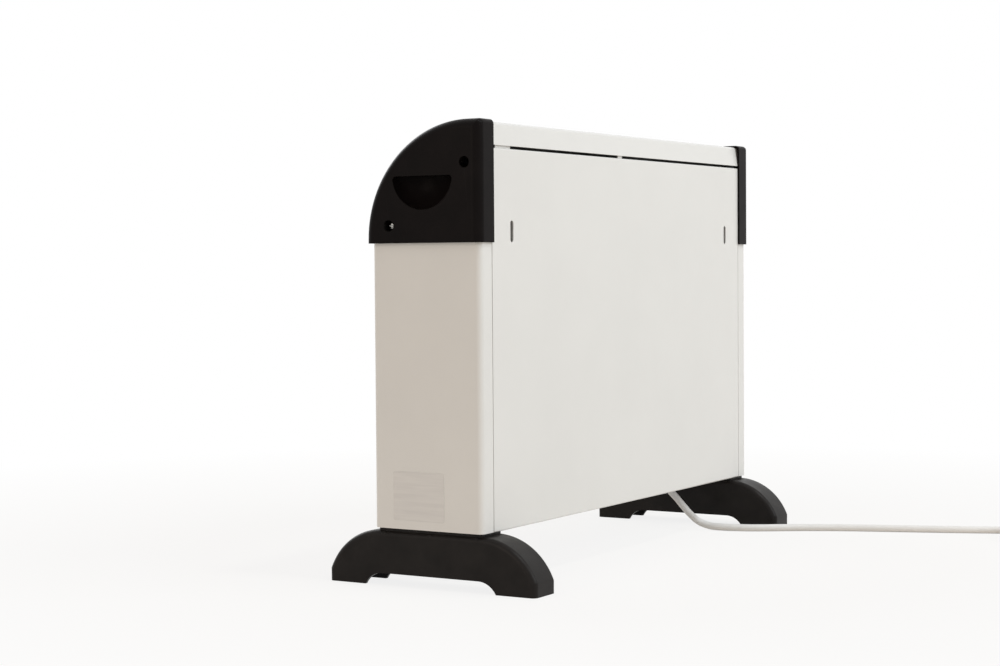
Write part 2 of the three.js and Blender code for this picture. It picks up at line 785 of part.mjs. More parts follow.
// The part of a turned bowl below the grip's flat lip, grown by a wall.
function gripScoop(wall) {
  const bowl = arc(0, 0, 1, 0, 90, 5).map((p) =>
    [p.y * (gripRadius + wall), capOuterX - p.x * (gripDepth + wall)]);
  const mouth = capOuterX + over;
  const body = turnedX([...bowl, [gripRadius + wall, mouth], [0, mouth]], gripY, gripLipZ + gripAxisRise);
  const reach = gripRadius + gripWall + over;
  const above = box(capOuterX - reach, capOuterX + reach, gripY - reach, gripY + reach,
    gripLipZ + wall, gripLipZ + gripAxisRise + reach);
  return cut(body, above);
}

function capScrew({ y, z, sink }) {
  const seat = capOuterX - sink + clearance;
  const top = seat + capScrewHeadHeight;
  const head = turnedX([
    [0, seat], [capScrewHeadRadius, seat], [capScrewHeadRadius, seat + capScrewHeadHeight * 0.4],
    [capScrewHeadRadius * 0.7, top], [0, top],
  ], y, z, 16);
  const shank = cylinderX(capScrewRadius, plateX - screwGripLength, seat + over, y, z, 10);
  const cross = [[screwCrossReach, screwCrossHalf], [screwCrossHalf, screwCrossReach]].map(([dy, dz]) =>
    box(top - screwCrossDepth, top + over, y - dy, y + dy, z - dz, z + dz));
  return cut(join(head, shank), ...cross);
}

function endPlate(side) {
  const bottom = intakeZ;
  const outline = bodyProfile(plateInset, bottom, 12);
  const { halfDepth, belowCap, height } = side > 0 ? plateVent : plateWindow;
  const windowTop = capBottom - belowCap;
  const web = prismX(outline, plateX, plateX + plateSheet,
    [rectangle(-halfDepth, halfDepth, windowTop - height, windowTop)]);
  const half = bodyDepth / 2 - bodyBend - over;
  const flange = box(plateX, plateX + plateFlange, -half, half, bottom, bottom + plateSheet);
  const holes = [
    ...[upperScrew, lowerScrew].map(({ y, z }) =>
      cylinderX(capScrewRadius + clearance, plateX - over, plateX + plateSheet + over, y, z, 10)),
    ...[1, -1].map((sideY) =>
      cylinderZ(footScrewRadius + clearance, bottom - over, bottom + plateSheet + over,
        footScrewX, sideY * footScrewY, 10)),
  ];
  return cut(join(web, flange), ...holes);
}

function foot() {
  const centre = (footInnerX + footOuterX) / 2;
  const half = filletedRings(footProfile, centre, footOuterX, footFillet, 0, -footSkirt, 3);
  const mirrored = half.slice(1).reverse().map((ring) =>
    ring.map((p) => new THREE.Vector3(2 * centre - p.x, p.y, p.z)));
  const body = loft([...mirrored, ...half]);
  const neckStepY = panelLipY - clearance;
  const neck = join(
    box(footInnerX + neckInset, footOuterX - neckInset, -neckHalfLength, neckStepY,
      footTop - neckSink, neckTop),
    box(footInnerX + neckInset, footOuterX - neckInset, neckStepY - over, neckHalfLength,
      footTop - neckSink, neckTop - neckRearStep));
  const cavityHalf = footThickness / 2 - footWall;
  const cavity = prismX(footProfile(footWall, -footSkirt - over),
    centre - cavityHalf, centre + cavityHalf);
  const ribHalf = footWall / 2;
  const ribs = [-footRibPitch, 0, footRibPitch].map((y) =>
    box(footInnerX + over, footOuterX - over, y - ribHalf, y + ribHalf, archHeight / 2, footTop - over));
  const reach = footHalfLength + over;
  const below = box(footInnerX - over, footOuterX + over, -reach, reach, -2 * footSkirt, 0);
  const arch = prismX(archProfile(), footInnerX - over, footOuterX + over);
  const screwHoles = [1, -1].map((side) =>
    cylinderZ(footScrewRadius + clearance, 0, neckTop + over, footScrewX, side * footScrewY, 12));
  const shell = cut(join(body, neck), cavity);
  return cut(join(shell, ...ribs), below, arch, ...screwHoles);
}

function footScrew(sideY) {
  const seat = footTop - footWall - clearance;
  const y = sideY * footScrewY;
  const bottom = seat - footScrewHeadHeight;
  const head = cylinderZ(footScrewHeadRadius, bottom, seat, footScrewX, y, 16);
  const shankTop = intakeZ + plateSheet + footScrewReach;
  const shank = cylinderZ(footScrewRadius, seat - over, shankTop, footScrewX, y, 10);
  const cross = [[screwCrossReach, screwCrossHalf], [screwCrossHalf, screwCrossReach]].map(([dx, dy]) =>
    box(footScrewX - dx, footScrewX + dx, y - dy, y + dy, bottom - over, bottom + screwCrossDepth));
  return cut(join(head, shank), ...cross);
}

function buildEnd(side, name) {
  const group = new THREE.Group();
  group.scale.x = side;
  addPiece(group, `${name}_end_cap`, endCap(), materials.blackPlastic);
  for (const screw of [upperScrew, lowerScrew]) {
    addPiece(group, `${name}_cap_screw_${screw.label}`, capScrew(screw), materials.screwSteel);
  }
  addPiece(group, `${name}_end_plate`, endPlate(side), materials.galvanised);
  addPiece(group, `${name}_foot`, foot(), materials.blackPlastic);
  addPiece(group, `${name}_foot_screw_front`, footScrew(-1), materials.screwSteel);
  addPiece(group, `${name}_foot_screw_rear`, footScrew(1), materials.screwSteel);
  return group;
}

// ---------------------------------------------------------------- heating chamber

function partition() {
  const front = frontY + bodySheet + clearance;
  const back = panelY - bodySheet - clearance;
  const path = [
    point(partitionX - partitionFlange, back),
    point(partitionX, back),
    point(partitionX, front),
    point(partitionX - partitionFlange, front),
  ];
  const bottom = intakeZ + bodySheet + clearance;
  const sheet = prismZ(sheetOutline(path, bodySheet), bottom, partitionTop);
  const flangeEnd = partitionX - partitionFlange - over;
  const trimBottom = bodyArcCentre.z - partitionTrim;
  const kept = bodyProfile(plateInset, trimBottom - over, 12);
  const curve = cut(box(flangeEnd, partitionX + over, front - over, back + over, trimBottom, capTop),
    prismX(kept, flangeEnd - over, partitionX + 2 * over));
  const web = [partitionX - bodySheet - over, partitionX + over];
  const holes = [
    cylinderX(leadHole.radius, ...web, leadHole.y, leadHole.z, 12),
    cylinderX(cutout.rearRadius + clearance, ...web, cutout.y, cutout.z, 20),
  ];
  const seamNotch = box(flangeEnd, partitionX + over, front - over, frontY + seamLip + clearance,
    bodySeamZ - bodySheet - clearance, bodySeamZ + clearance + bodySheet + clearance);
  return cut(sheet, curve, seamNotch, ...holes);
}

function heatShield() {
  const x0 = partitionX + clearance;
  const x1 = plateX - clearance;
  const path = [
    point(x0, shieldY - shieldFlange),
    point(x0, shieldY),
    point(x1, shieldY),
    point(x1, shieldY - shieldFlange),
  ];
  return prismZ(sheetOutline(path, shieldSheet), shieldBottom, shieldTop);
}

function micaBoard(y) {
  const x0 = boardEnds.x0;
  const x1 = boardEnds.x1;
  const z0 = boardBottom;
  const z1 = boardBottom + boardHeight;
  return box(x0, x1, y - boardThickness / 2, y + boardThickness / 2, z0, z1);
}

// Ribbon wound round the board as a flat helix; its ring at each corner spans the ribbon.
function heatingRibbon(y) {
  const start = boardEnds.x0 + windingEndGap;
  const turns = Math.floor((boardEnds.x1 - windingEndGap - start) / windingPitch);
  const innerY = boardThickness / 2 + clearance;
  const innerZ = boardHeight / 2 + clearance;
  const middleZ = boardBottom + boardHeight / 2;
  const corners = [[-1, -1], [-1, 1], [1, 1], [1, -1]];
  const rings = [];
  for (let i = 0; i <= turns * 4; i += 1) {
    const [signY, signZ] = corners[i % 4];
    const x = start + (i * windingPitch) / 4;
    const at = (dx, grow) => new THREE.Vector3(x + dx,
      y + signY * (innerY + grow), middleZ + signZ * (innerZ + grow));
    rings.push([at(-ribbonWidth / 2, 0), at(ribbonWidth / 2, 0),
      at(ribbonWidth / 2, ribbonThickness), at(-ribbonWidth / 2, ribbonThickness)]);
  }
  return loft(rings);
}

// Slotted ceramic block that holds one end of a board.
function ceramicBlock(y, end) {
  const height = boardHeight + blockWall;
  const z0 = bracketShelfTop + clearance;
  const outerX = end < 0 ? boardEnds.x0 - blockWall : boardEnds.x1 + blockWall;
  const [x0, x1] = inOrder(outerX, outerX - end * blockLength);
  const body = box(x0, x1, y - blockWidth / 2, y + blockWidth / 2, z0, z0 + height);
  const slotHalf = boardThickness / 2 + clearance;
  const deep = (end < 0 ? boardEnds.x0 : boardEnds.x1) + end * clearance;
  const [s0, s1] = inOrder(deep, outerX - end * (blockLength + over));
  return cut(body, box(s0, s1, y - slotHalf, y + slotHalf, boardBottom - clearance, z0 + height + over));
}

// Angle bracket under both ceramic blocks of one end.
function elementBracket(end) {
  const wallX = end < 0 ? partitionX + clearance : plateX - clearance;
  const shelfX = wallX - end * bracketShelfReach;
  const middleY = (elements[0].y + elements[1].y) / 2;
  const y0 = middleY - bracketWidth / 2;
  const y1 = middleY + bracketWidth / 2;
  const webX = wallX - end * bracketSheet;
  const [w0, w1] = inOrder(wallX, webX);
  const [s0, s1] = inOrder(wallX, shelfX);
  return join(
    box(w0, w1, y0, y1, bracketShelfTop - bracketRise, bracketShelfTop),
    box(s0, s1, y0, y1, bracketShelfTop - bracketSheet, bracketShelfTop));
}

function thermalCutout() {
  const face = partitionX + clearance;
  const rearFace = partitionX - cutoutRearLength;
  const { y, z } = cutout;
  const can = cylinderX(cutout.radius, face + over, face + cutout.height, y, z, 20);
  const ear = box(face, face + cutoutEar.thickness, y - cutoutEar.length / 2, y + cutoutEar.length / 2,
    z - cutoutEar.width / 2, z + cutoutEar.width / 2);
  const rear = cylinderX(cutout.rearRadius, rearFace, face + over, y, z, 20);
  const halfThick = bladeTerminal.thickness / 2;
  const terminals = [-cutoutTerminalY, cutoutTerminalY].map((dy) => box(rearFace - bladeTerminal.length,
    rearFace + over, y + dy - halfThick, y + dy + halfThick, z - bladeTerminal.width / 2,
    z + bladeTerminal.width / 2));
  return join(can, ear, rear, ...terminals);
}

function buildHeater() {
  const group = new THREE.Group();
  addPiece(group, 'control_partition', partition(), materials.galvanised);
  addPiece(group, 'rear_heat_shield', heatShield(), materials.galvanised);
  for (const [end, side] of [[-1, 'left'], [1, 'right']]) {
    addPiece(group, `element_bracket_${side}`, elementBracket(end), materials.galvanised);
  }
  for (const { label, y } of elements) {
    addPiece(group, `mica_board_${label}`, micaBoard(y), materials.mica);
    addPiece(group, `heating_ribbon_${label}`, heatingRibbon(y), materials.ribbon);
    for (const [end, side] of [[-1, 'left'], [1, 'right']]) {
      addPiece(group, `ceramic_block_${label}_${side}`, ceramicBlock(y, end), materials.ceramic);
    }
  }
  addPiece(group, 'thermal_cutout', thermalCutout(), materials.ceramic);
  return group;
}

// ---------------------------------------------------------------- controls on the left end

function controlFascia() {
  const outline = roundedRectangle(-fascia.halfWidth, fascia.halfWidth,
    fasciaTop - fascia.height, fasciaTop, fascia.corner);
  const plate = prismX(outline, fasciaOuterX, fasciaOuterX + fascia.thickness);
  return cut(plate,
    cylinderX(bushRadius + clearance, fasciaOuterX - over, -halfLength, 0, dialZ),
    ...switchYs.map((y) => switchHole(y, fasciaOuterX - over, -halfLength)));
}

function thermostatKnob() {
  const skirtX = knobInnerX - knobSkirt;
  const gripX = skirtX - knobSkirtBevel;
  const body = turnedX([
    [0, knobInnerX], [knobBaseRadius, knobInnerX], [knobBaseRadius, skirtX],
    [knobTopRadius, gripX], [knobTopRadius - knobDraft, knobOuterX + knobRimHeight],
    [knobTopRadius - knobRimInset, knobOuterX], [0, knobOuterX],
  ], 0, dialZ, 30);
  const flutes = Array.from({ length: knobFluteCount }, (_, i) => {
    const angle = radians((360 * (i + 0.5)) / knobFluteCount);
    const away = knobTopRadius + knobFluteRadius - knobFluteBite;
    return cylinderX(knobFluteRadius, knobOuterX - over, gripX - knobFluteGap,
      away * Math.cos(angle), dialZ + away * Math.sin(angle), 10);
  });
  // A raised pointer bar across the front, towards the first mark.
  const pointer = box(knobOuterX - pointerRise, knobOuterX + over, -pointerWidth / 2, pointerWidth / 2,
    dialZ + pointerStart, dialZ + pointerEnd);
  const turned = pointer.translate([0, 0, -dialZ]).rotate([dialStart, 0, 0]).translate([0, 0, dialZ]);
  const bore = cylinderX(shaftRadius + clearance, knobInnerX - knobBoreDepth, knobInnerX + over,
    0, dialZ, 20);
  return cut(join(body, turned), ...flutes, bore);
}

function thermostatShaft() {
  const outer = knobInnerX - knobBoreDepth + clearance;
  const inner = thermostatBaseX + thermostatBase.depth - thermostatBase.floor - clearance;
  return cylinderX(shaftRadius, outer, inner, 0, dialZ, 20);
}

function thermostatMount() {
  const plate = box(thermostatPlateX, thermostatPlateX + thermostatPlate.thickness,
    -thermostatPlate.width / 2, thermostatPlate.width / 2,
    dialZ - thermostatPlate.height / 2, dialZ + thermostatPlate.height / 2);
  const bush = cylinderX(bushRadius, fasciaOuterX + bushRecess,
    thermostatPlateX + thermostatPlate.thickness / 2, 0, dialZ, 20);
  const bore = cylinderX(shaftRadius + clearance, fasciaOuterX, thermostatBaseX, 0, dialZ, 20);
  return cut(join(plate, bush), bore);
}

function thermostatBody() {
  const { width, height, depth, floor } = thermostatBase;
  const block = box(thermostatBaseX, thermostatBaseX + depth, -width / 2, width / 2,
    dialZ - height / 2, dialZ + height / 2);
  const bore = cylinderX(shaftRadius + clearance, thermostatBaseX - over, thermostatBaseX + depth - floor,
    0, dialZ, 20);
  const tabX = thermostatBaseX + thermostatTab.inset;
  const tabZ = dialZ + thermostatTab.rise;
  const terminals = [-1, 1].map((side) => {
    const [y0, y1] = inOrder(side * (width / 2 - over), side * (width / 2 + bladeTerminal.length));
    return box(tabX, tabX + bladeTerminal.thickness, y0, y1, tabZ, tabZ + bladeTerminal.width);
  });
  return join(cut(block, bore), ...terminals);
}

// Bent bimetal blade behind the thermostat's ceramic body.
function bimetalBlade() {
  const base = thermostatBaseX + thermostatBase.depth + clearance;
  const bottom = dialZ - thermostatBase.height / 2;
  const path = [
    point(base, bottom),
    point(base, bottom + blade.foot),
    point(base + blade.kneeReach, bottom + blade.kneeRise),
    point(base + blade.tipReach, bottom + thermostatBase.height + blade.tipRise),
  ];
  return prismY(sheetOutline(path, blade.thickness), -blade.width / 2, blade.width / 2);
}

function switchBody(y) {
  const bezelX = fasciaOuterX - clearance - bezel.thickness;
  const backX = fasciaOuterX - clearance + switchCase.depth;
  const frame = prismX(roundedRectangle(y - bezel.width / 2, y + bezel.width / 2,
    switchZ - bezel.height / 2, switchZ + bezel.height / 2, bezel.corner, 2),
  bezelX, fasciaOuterX - clearance);
  const housing = box(fasciaOuterX - clearance - over, backX,
    y - switchCase.width / 2, y + switchCase.width / 2,
    switchZ - switchCase.height / 2, switchZ + switchCase.height / 2);
  const well = box(bezelX - over, bezelX + rockerWell.depth,
    y - rockerWell.width / 2, y + rockerWell.width / 2,
    switchZ - rockerWell.height / 2, switchZ + rockerWell.height / 2);
  const pivot = cylinderY(trunnionRadius + clearance, y - rockerWell.width / 2 - trunnionReach,
    y + rockerWell.width / 2 + trunnionReach, rockerPivotX, switchZ, 12);
  const terminals = [-1, 0, 1].map((i) => {
    const z = switchZ + i * switchTerminalPitch;
    return box(backX - over, backX + bladeTerminal.length, y - bladeTerminal.width / 2,
      y + bladeTerminal.width / 2, z - bladeTerminal.thickness / 2, z + bladeTerminal.thickness / 2);
  });
  return join(cut(join(frame, housing), well, pivot), ...terminals);
}

// Rocker paddle in its own frame: +X is out of the panel, the pivot is at the origin.
function rockerPaddle() {
  const halfWidth = rockerWell.width / 2 - clearance;
  const { halfLength: end, crest, saddle, saddleHalf, skirt, keel, keelHalf } = rocker;
  const outline = [
    point(-skirt, -end), point(crest, -end), point(saddle, -saddleHalf), point(saddle, saddleHalf),
    point(crest, end), point(-skirt, end), point(-keel, keelHalf), point(-keel, -keelHalf),
  ];
  const paddle = prismY(outline, -halfWidth, halfWidth);
  const pins = cylinderY(trunnionRadius, -rockerWell.width / 2 - trunnionReach + clearance,
    rockerWell.width / 2 + trunnionReach - clearance, 0, 0, 12);
  return join(paddle, pins);
}

function buildControls() {
  const group = new THREE.Group();
  addPiece(group, 'control_fascia', controlFascia(), materials.blackPlastic);
  addPiece(group, 'thermostat_knob', thermostatKnob(), materials.blackPlastic);
  addPiece(group, 'thermostat_shaft', thermostatShaft(), materials.brass);
  addPiece(group, 'thermostat_mount', thermostatMount(), materials.galvanised);
  addPiece(group, 'thermostat_body', thermostatBody(), materials.ceramic);
  addPiece(group, 'thermostat_bimetal', bimetalBlade(), materials.brass);
  switchYs.forEach((y, i) => {
    addPiece(group, `switch_${i + 1}_body`, switchBody(y), materials.blackPlastic);
    const paddle = addPiece(group, `switch_${i + 1}_rocker`, rockerPaddle(), materials.switchRed);
    paddle.position.set(rockerPivotX, y, switchZ);
    paddle.rotation.set(0, radians(180 - rockerTilt), 0);
  });
  return group;
}

// ---------------------------------------------------------------- wiring inside

// The soft line of a lead that leaves one terminal and reaches another, each along its own direction.
function leadLine(from, leaving, to, arriving, via = []) {
  const ahead = (place, direction) => place.map((value, i) => value + direction[i] * leadStub);
  return [from, ahead(from, leaving), ...via, ahead(to, arriving), to];
}

function buildWiring() {
  const group = new THREE.Group();
  const { width, height, depth, y, z, polePitch, poleRadius, poleDepth } = terminalBlock;
  const housing = box(blockX - depth, blockX, y - width / 2, y + width / 2, z, z + height);
  const poles = [-1, 0, 1].map((i) =>
    cylinderZ(poleRadius, z + height - poleDepth, z + height + over, blockMiddleX, y + i * polePitch, 10));
  addPiece(group, 'terminal_block', cut(housing, ...poles), materials.ceramic);

  const up = [0, 0, 1];
  const left = [-1, 0, 0];
  const right = [1, 0, 0];
  const pole = (i) => [blockMiddleX, y + i * polePitch, z + height - poleDepth + clearance];
  const dialTerminal = (side) => [thermostatBaseX + thermostatTab.inset + bladeTerminal.thickness / 2,
    side * (thermostatBase.width / 2 + bladeTerminal.length + clearance),
    dialZ + thermostatTab.rise + bladeTerminal.width / 2];
  const switchTerminal = (i, side) =>
    [switchTerminalX + clearance, switchYs[i], switchZ + side * switchTerminalPitch];
  const boardEnd = ({ y: boardY }) => [boardEnds.x0 + windingEndGap / 2, boardY, boardTop + clearance];
  const throughHole = (offset) => [
    [partitionX - leadStub, leadHole.y + offset, leadHole.z],
    [partitionX + leadStub, leadHole.y + offset, leadHole.z]];
  const behindSwitches = [switchTerminalX + leadStub, switchYs[0], dialZ + thermostatBase.height / 2];
  const [lowPower, highPower] = elements;
  const leads = [
    ['live_to_thermostat', materials.brownLead,
      leadLine(pole(1), up, dialTerminal(1), [0, 1, 0])],
    ['thermostat_to_switches', materials.brownLead,
      leadLine(dialTerminal(-1), [0, -1, 0], switchTerminal(0, 0), right, [behindSwitches])],
    ['neutral_to_cutout', materials.blueLead,
      leadLine(pole(-1), up, [cutoutTerminalX - clearance, cutout.y - cutoutTerminalY, cutout.z], left)],
    ['switch_1_to_element', materials.whiteLead,
      leadLine(switchTerminal(0, 1), right, boardEnd(lowPower), up, throughHole(-leadHole.radius / 2))],
    ['switch_2_to_element', materials.whiteLead,
      leadLine(switchTerminal(1, 1), right, boardEnd(highPower), up, throughHole(leadHole.radius / 2))],
    ['earth', materials.earthLead,
      leadLine(pole(0), up, [blockX, y, z + height + earthRise], left)],
  ];
  for (const [name, material, line] of leads) {
    addPiece(group, `lead_${name}`, tube(line, leadRadius, 6, 14), material);
  }
  const supplyStart = [glandBase.x, glandBase.y, intakeZ + bodySheet + glandFlange + clearance];
  const supplyEnd = [blockMiddleX, y, z - clearance];
  addPiece(group, 'supply_lead', tube(leadLine(supplyStart, up, supplyEnd, [0, 0, -1]), cordRadius, 8, 8),
    materials.whiteCord);
  return group;
}

// ---------------------------------------------------------------- power cord

function ringAcross(centre, axis, radius, sides) {
  const across = new THREE.Vector3(1, 0, 0);
  const up = new THREE.Vector3().crossVectors(axis, across);
  return arc(0, 0, radius, 0, 360 - 360 / sides, sides - 1).map((p) =>
    centre.clone().addScaledVector(across, p.x).addScaledVector(up, p.y));
}

// Bush clipped into the bottom grille, with a tapered nozzle that leads the cord backwards.
function cordGland() {
  const plateTop = intakeZ + bodySheet;
  const disc = (radius, z0, z1) => cylinderZ(radius, z0, z1, glandBase.x, glandBase.y, 20);
  const bush = join(
    disc(glandFlangeRadius, intakeZ - glandFlange, intakeZ - clearance),
    disc(glandNeckRadius, intakeZ - over, plateTop + over),
    disc(glandFlangeRadius, plateTop + clearance, plateTop + glandFlange));
  const stations = [[over, glandNeckRadius - glandShoulder],
    [glandLength * glandWaist, cordRadius + glandWaistWall],
    [glandLength - clearance, cordRadius + glandTipWall]];
  const nozzle = loft(stations.map(([along, radius]) =>
    ringAcross(glandBase.clone().addScaledVector(glandAxis, along), glandAxis, radius, 16)));
  const reach = 2 * glandFlangeRadius;
  const above = box(glandBase.x - reach, glandBase.x + reach, glandBase.y - reach, glandBase.y + reach,
    intakeZ - clearance, intakeZ + reach);
  return join(bush, cut(nozzle, above));
}

// The coil's outer shape: an inner track of turns and a taller outer one.
function coilEnvelope(grow) {
  const inner = coilInnerRadius - grow;
  const outer = coilOuterRadius + grow;
  const innerTop = 2 * innerTurnLayers * cordRadius + grow;
  const outerTop = 2 * outerTurnLayers * cordRadius + grow;
  const chamfer = cordRadius * 0.6;
  const profile = [
    point(inner + chamfer, -grow), point(outer - chamfer, -grow), point(outer, chamfer),
    point(outer, outerTop - chamfer), point(outer - chamfer, outerTop),
    point(coilMeanRadius + chamfer - grow, outerTop), point(coilMeanRadius - grow, outerTop - chamfer),
    point(coilMeanRadius - grow, innerTop), point(inner + chamfer, innerTop),
    point(inner, innerTop - chamfer), point(inner, chamfer), point(inner + chamfer, -grow),
  ];
  const ring = new THREE.LatheGeometry(profile, 36);
  return solid(ring.rotateX(Math.PI / 2).translate(coilCentre.x, coilCentre.y, 0));
}

function plugBody() {
  const gripX = plugX + plugReliefLength;
  const [tipWall, rootWall] = plugReliefWalls;
  const body = turnedX([
    [0, plugX], [cordRadius + tipWall, plugX], [cordRadius + rootWall, gripX - plugEdge],
    [plugGripRadius - plugEdge, gripX], [plugGripRadius, gripX + plugGripStart],
    [plugGripRadius, gripX + plugGripEnd], [plugBodyRadius, gripX + plugFlareEnd],
    [plugBodyRadius, plugFaceX - plugEdge], [plugBodyRadius - plugEdge, plugFaceX], [0, plugFaceX],
  ], tailY, tailZ, 20);
  const sockets = [-1, 1].map((side) => cylinderX(plugPinRadius + clearance, plugFaceX - plugPinSocket,
    plugFaceX + over, tailY + (side * plugPinSpacing) / 2, tailZ, 12));
  return cut(body, ...sockets);
}

function plugPin(side) {
  const root = plugFaceX - plugPinSocket + clearance;
  const tip = plugFaceX + plugPinLength;
  return turnedX([
    [0, root], [plugPinRadius, root], [plugPinRadius, tip - plugPinTaper],
    [plugPinRadius / 2, tip], [0, tip],
  ], tailY + (side * plugPinSpacing) / 2, tailZ, 12);
}

function buildCord() {
  const group = new THREE.Group();
  const room = coilEnvelope(clearance);
  const freeCord = cut(tube(cordRoute, cordRadius, 10, 28), room);
  const tail = cut(cylinderX(cordRadius, coilCentre.x, plugX - clearance, tailY, tailZ, 10), room);
  addPiece(group, 'cord_gland', cordGland(), materials.blackPlastic);
  addPiece(group, 'power_cord', freeCord, materials.whiteCord);
  addPiece(group, 'cord_coil', coilEnvelope(0), materials.whiteCord);
  addPiece(group, 'cord_tail', tail, materials.whiteCord);
  addPiece(group, 'plug_body', plugBody(), materials.whiteCord);
  addPiece(group, 'plug_pin_front', plugPin(-1), materials.screwSteel);
  addPiece(group, 'plug_pin_rear', plugPin(1), materials.screwSteel);
  return group;
}

// ---------------------------------------------------------------- assembly

function buildBody() {
  const group = new THREE.Group();
  addPiece(group, 'casing_wrap', casingWrap(), materials.whiteSteel);
  addPiece(group, 'top_grille', topGrille(), materials.whiteSteel);
  addPiece(group, 'back_panel', backPanel(), materials.whiteSteel);
  addPiece(group, 'bottom_grille', bottomGrille(), materials.galvanised);
  for (const [side, name] of [[1, 'right'], [-1, 'left']]) {
    const hanger = addPiece(group, `hanger_bracket_${name}`, hangerBracket(), materials.galvanised);
    hanger.scale.x = side;
  }
  const { y0, width, aboveBottom, height, thickness, corner } = label;
  const z0 = bodyBottom + aboveBottom;
  const outline = roundedRectangle(y0, y0 + width, z0, z0 + height, corner, 2);
  addPiece(group, 'blank_label', prismX(outline, halfLength, halfLength + thickness), materials.labelFoil);
  return group;
}

const heater = new THREE.Group();
heater.position.x = originShift;
heater.add(buildBody(), buildEnd(1, 'right'), buildEnd(-1, 'left'), buildHeater(), buildControls(),
  buildWiring(), buildCord());

const assembly = new THREE.Group();
assembly.add(heater);

export default assembly;
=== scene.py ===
"""Looks of the convector heater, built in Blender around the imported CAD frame."""

import math

import bmesh
import bpy
from mathutils import Matrix, Vector


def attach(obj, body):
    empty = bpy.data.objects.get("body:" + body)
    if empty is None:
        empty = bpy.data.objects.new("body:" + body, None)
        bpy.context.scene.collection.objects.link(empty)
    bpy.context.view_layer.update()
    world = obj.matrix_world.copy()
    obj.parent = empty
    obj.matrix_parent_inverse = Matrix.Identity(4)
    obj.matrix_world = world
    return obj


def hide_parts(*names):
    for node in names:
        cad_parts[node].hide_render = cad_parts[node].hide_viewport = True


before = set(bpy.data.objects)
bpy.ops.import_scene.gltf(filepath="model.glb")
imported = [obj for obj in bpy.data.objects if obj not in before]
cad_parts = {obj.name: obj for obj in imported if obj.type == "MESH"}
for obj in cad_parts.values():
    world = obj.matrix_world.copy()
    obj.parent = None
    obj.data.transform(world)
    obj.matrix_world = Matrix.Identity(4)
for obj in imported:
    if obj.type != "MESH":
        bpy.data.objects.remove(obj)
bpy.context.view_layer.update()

# -------- places, in millimetres
# Shapes are made in the heater's own frame: its middle is ORIGIN_SHIFT beside the row frame's origin.

MM = 0.001
ORIGIN_SHIFT = 7.8

BODY_HALF = 260.0
FRONT_Y, BACK_Y = -53.0, 53.0
BODY_BOTTOM, BODY_SEAM = 48.5, 289.8
BODY_TOP, BODY_ARC_RADIUS = 384.1, 93.3
BODY_ARC_Y, BODY_ARC_Z = FRONT_Y + BODY_ARC_RADIUS, BODY_TOP - BODY_ARC_RADIUS
SHEET = 0.8
GAP = 0.3

CAP_TOP, CAP_BOTTOM = 385.6, 285.5
CAP_FRONT_Y, CAP_BACK_Y = -56.7, 55.0
CAP_OUTER_X, CAP_INNER_X = 265.0, 241.5
CAP_ARC_RADIUS = 97.0

FASCIA_X = -262.3
FASCIA_BOTTOM, FASCIA_TOP = 149.5, 267.5
DIAL_Z = 185.5
SWITCH_Z = 237.5
SWITCH_YS = (-17.0, 17.0)
SHAFT_HOLE_RADIUS = 4.9
SWITCH_HALF_Y, SWITCH_HALF_Z = 6.6, 9.7

FOOT_SCREW_X, FOOT_SCREW_Y = 247.0, 32.0
FOOT_HOLE_RADIUS = 2.3

CORD_RADIUS = 3.5
COIL_CENTRE = (-271.5, 372.3)
CORD_ROUTE = [
    (-182.9, 4.5, 36.8), (-182.7, 9.5, 32.4), (-182.4, 14.5, 27.5), (-182.1, 20.0, 21.9),
    (-181.8, 28.0, 14.4), (-181.9, 37.0, 8.0), (-182.6, 48.0, 4.6), (-184.2, 60.0, 3.8),
    (-188.5, 76.0, 3.6), (-196.0, 93.0, 3.5), (-207.0, 111.0, 3.5), (-218.5, 130.0, 3.5),
    (-229.0, 150.0, 3.5), (-238.5, 171.0, 3.5), (-247.0, 193.0, 3.5), (-255.0, 215.0, 3.5),
    (-263.0, 237.0, 3.5), (-271.5, 260.0, 3.5), (-280.5, 283.0, 3.5), (-290.0, 306.0, 3.5),
    (-299.5, 328.0, 3.5), (-307.0, 346.0, 3.5),
]


def place(point):
    """A point of the heater's frame, in millimetres, as one of the row frame, in metres."""
    x, y, z = point
    return Vector(((x + ORIGIN_SHIFT) * MM, y * MM, z * MM))


def in_scene(name, data):
    """A new object in the scene."""
    made = bpy.data.objects.new(name, data)
    bpy.context.scene.collection.objects.link(made)
    return made


# -------- camera

CAMERA_PLACE = (1655.9, 907.12, 270.14)
CAMERA_LENS = 73.018
CAMERA_YAW, CAMERA_PITCH, CAMERA_ROLL = (math.radians(a) for a in (210.929, -2.0285, -0.4154))

camera_data = bpy.data.cameras.new("camera")
camera_data.sensor_width = 36.0
camera_data.lens = CAMERA_LENS
camera_data.clip_start, camera_data.clip_end = 0.05, 60.0
camera = in_scene("camera", camera_data)
forward = Vector((math.cos(CAMERA_YAW) * math.cos(CAMERA_PITCH),
                  math.sin(CAMERA_YAW) * math.cos(CAMERA_PITCH), math.sin(CAMERA_PITCH)))
level = forward.cross(Vector((0, 0, 1))).normalized()
upright = level.cross(forward)
across = math.cos(CAMERA_ROLL) * level + math.sin(CAMERA_ROLL) * upright
above = math.cos(CAMERA_ROLL) * upright - math.sin(CAMERA_ROLL) * level
turn = Matrix((across, above, -forward)).transposed().to_4x4()
camera.matrix_world = Matrix.Translation(place(CAMERA_PLACE)) @ turn
bpy.context.scene.camera = camera

# -------- materials


def scaled(color, share):
    return tuple(c * share for c in color)


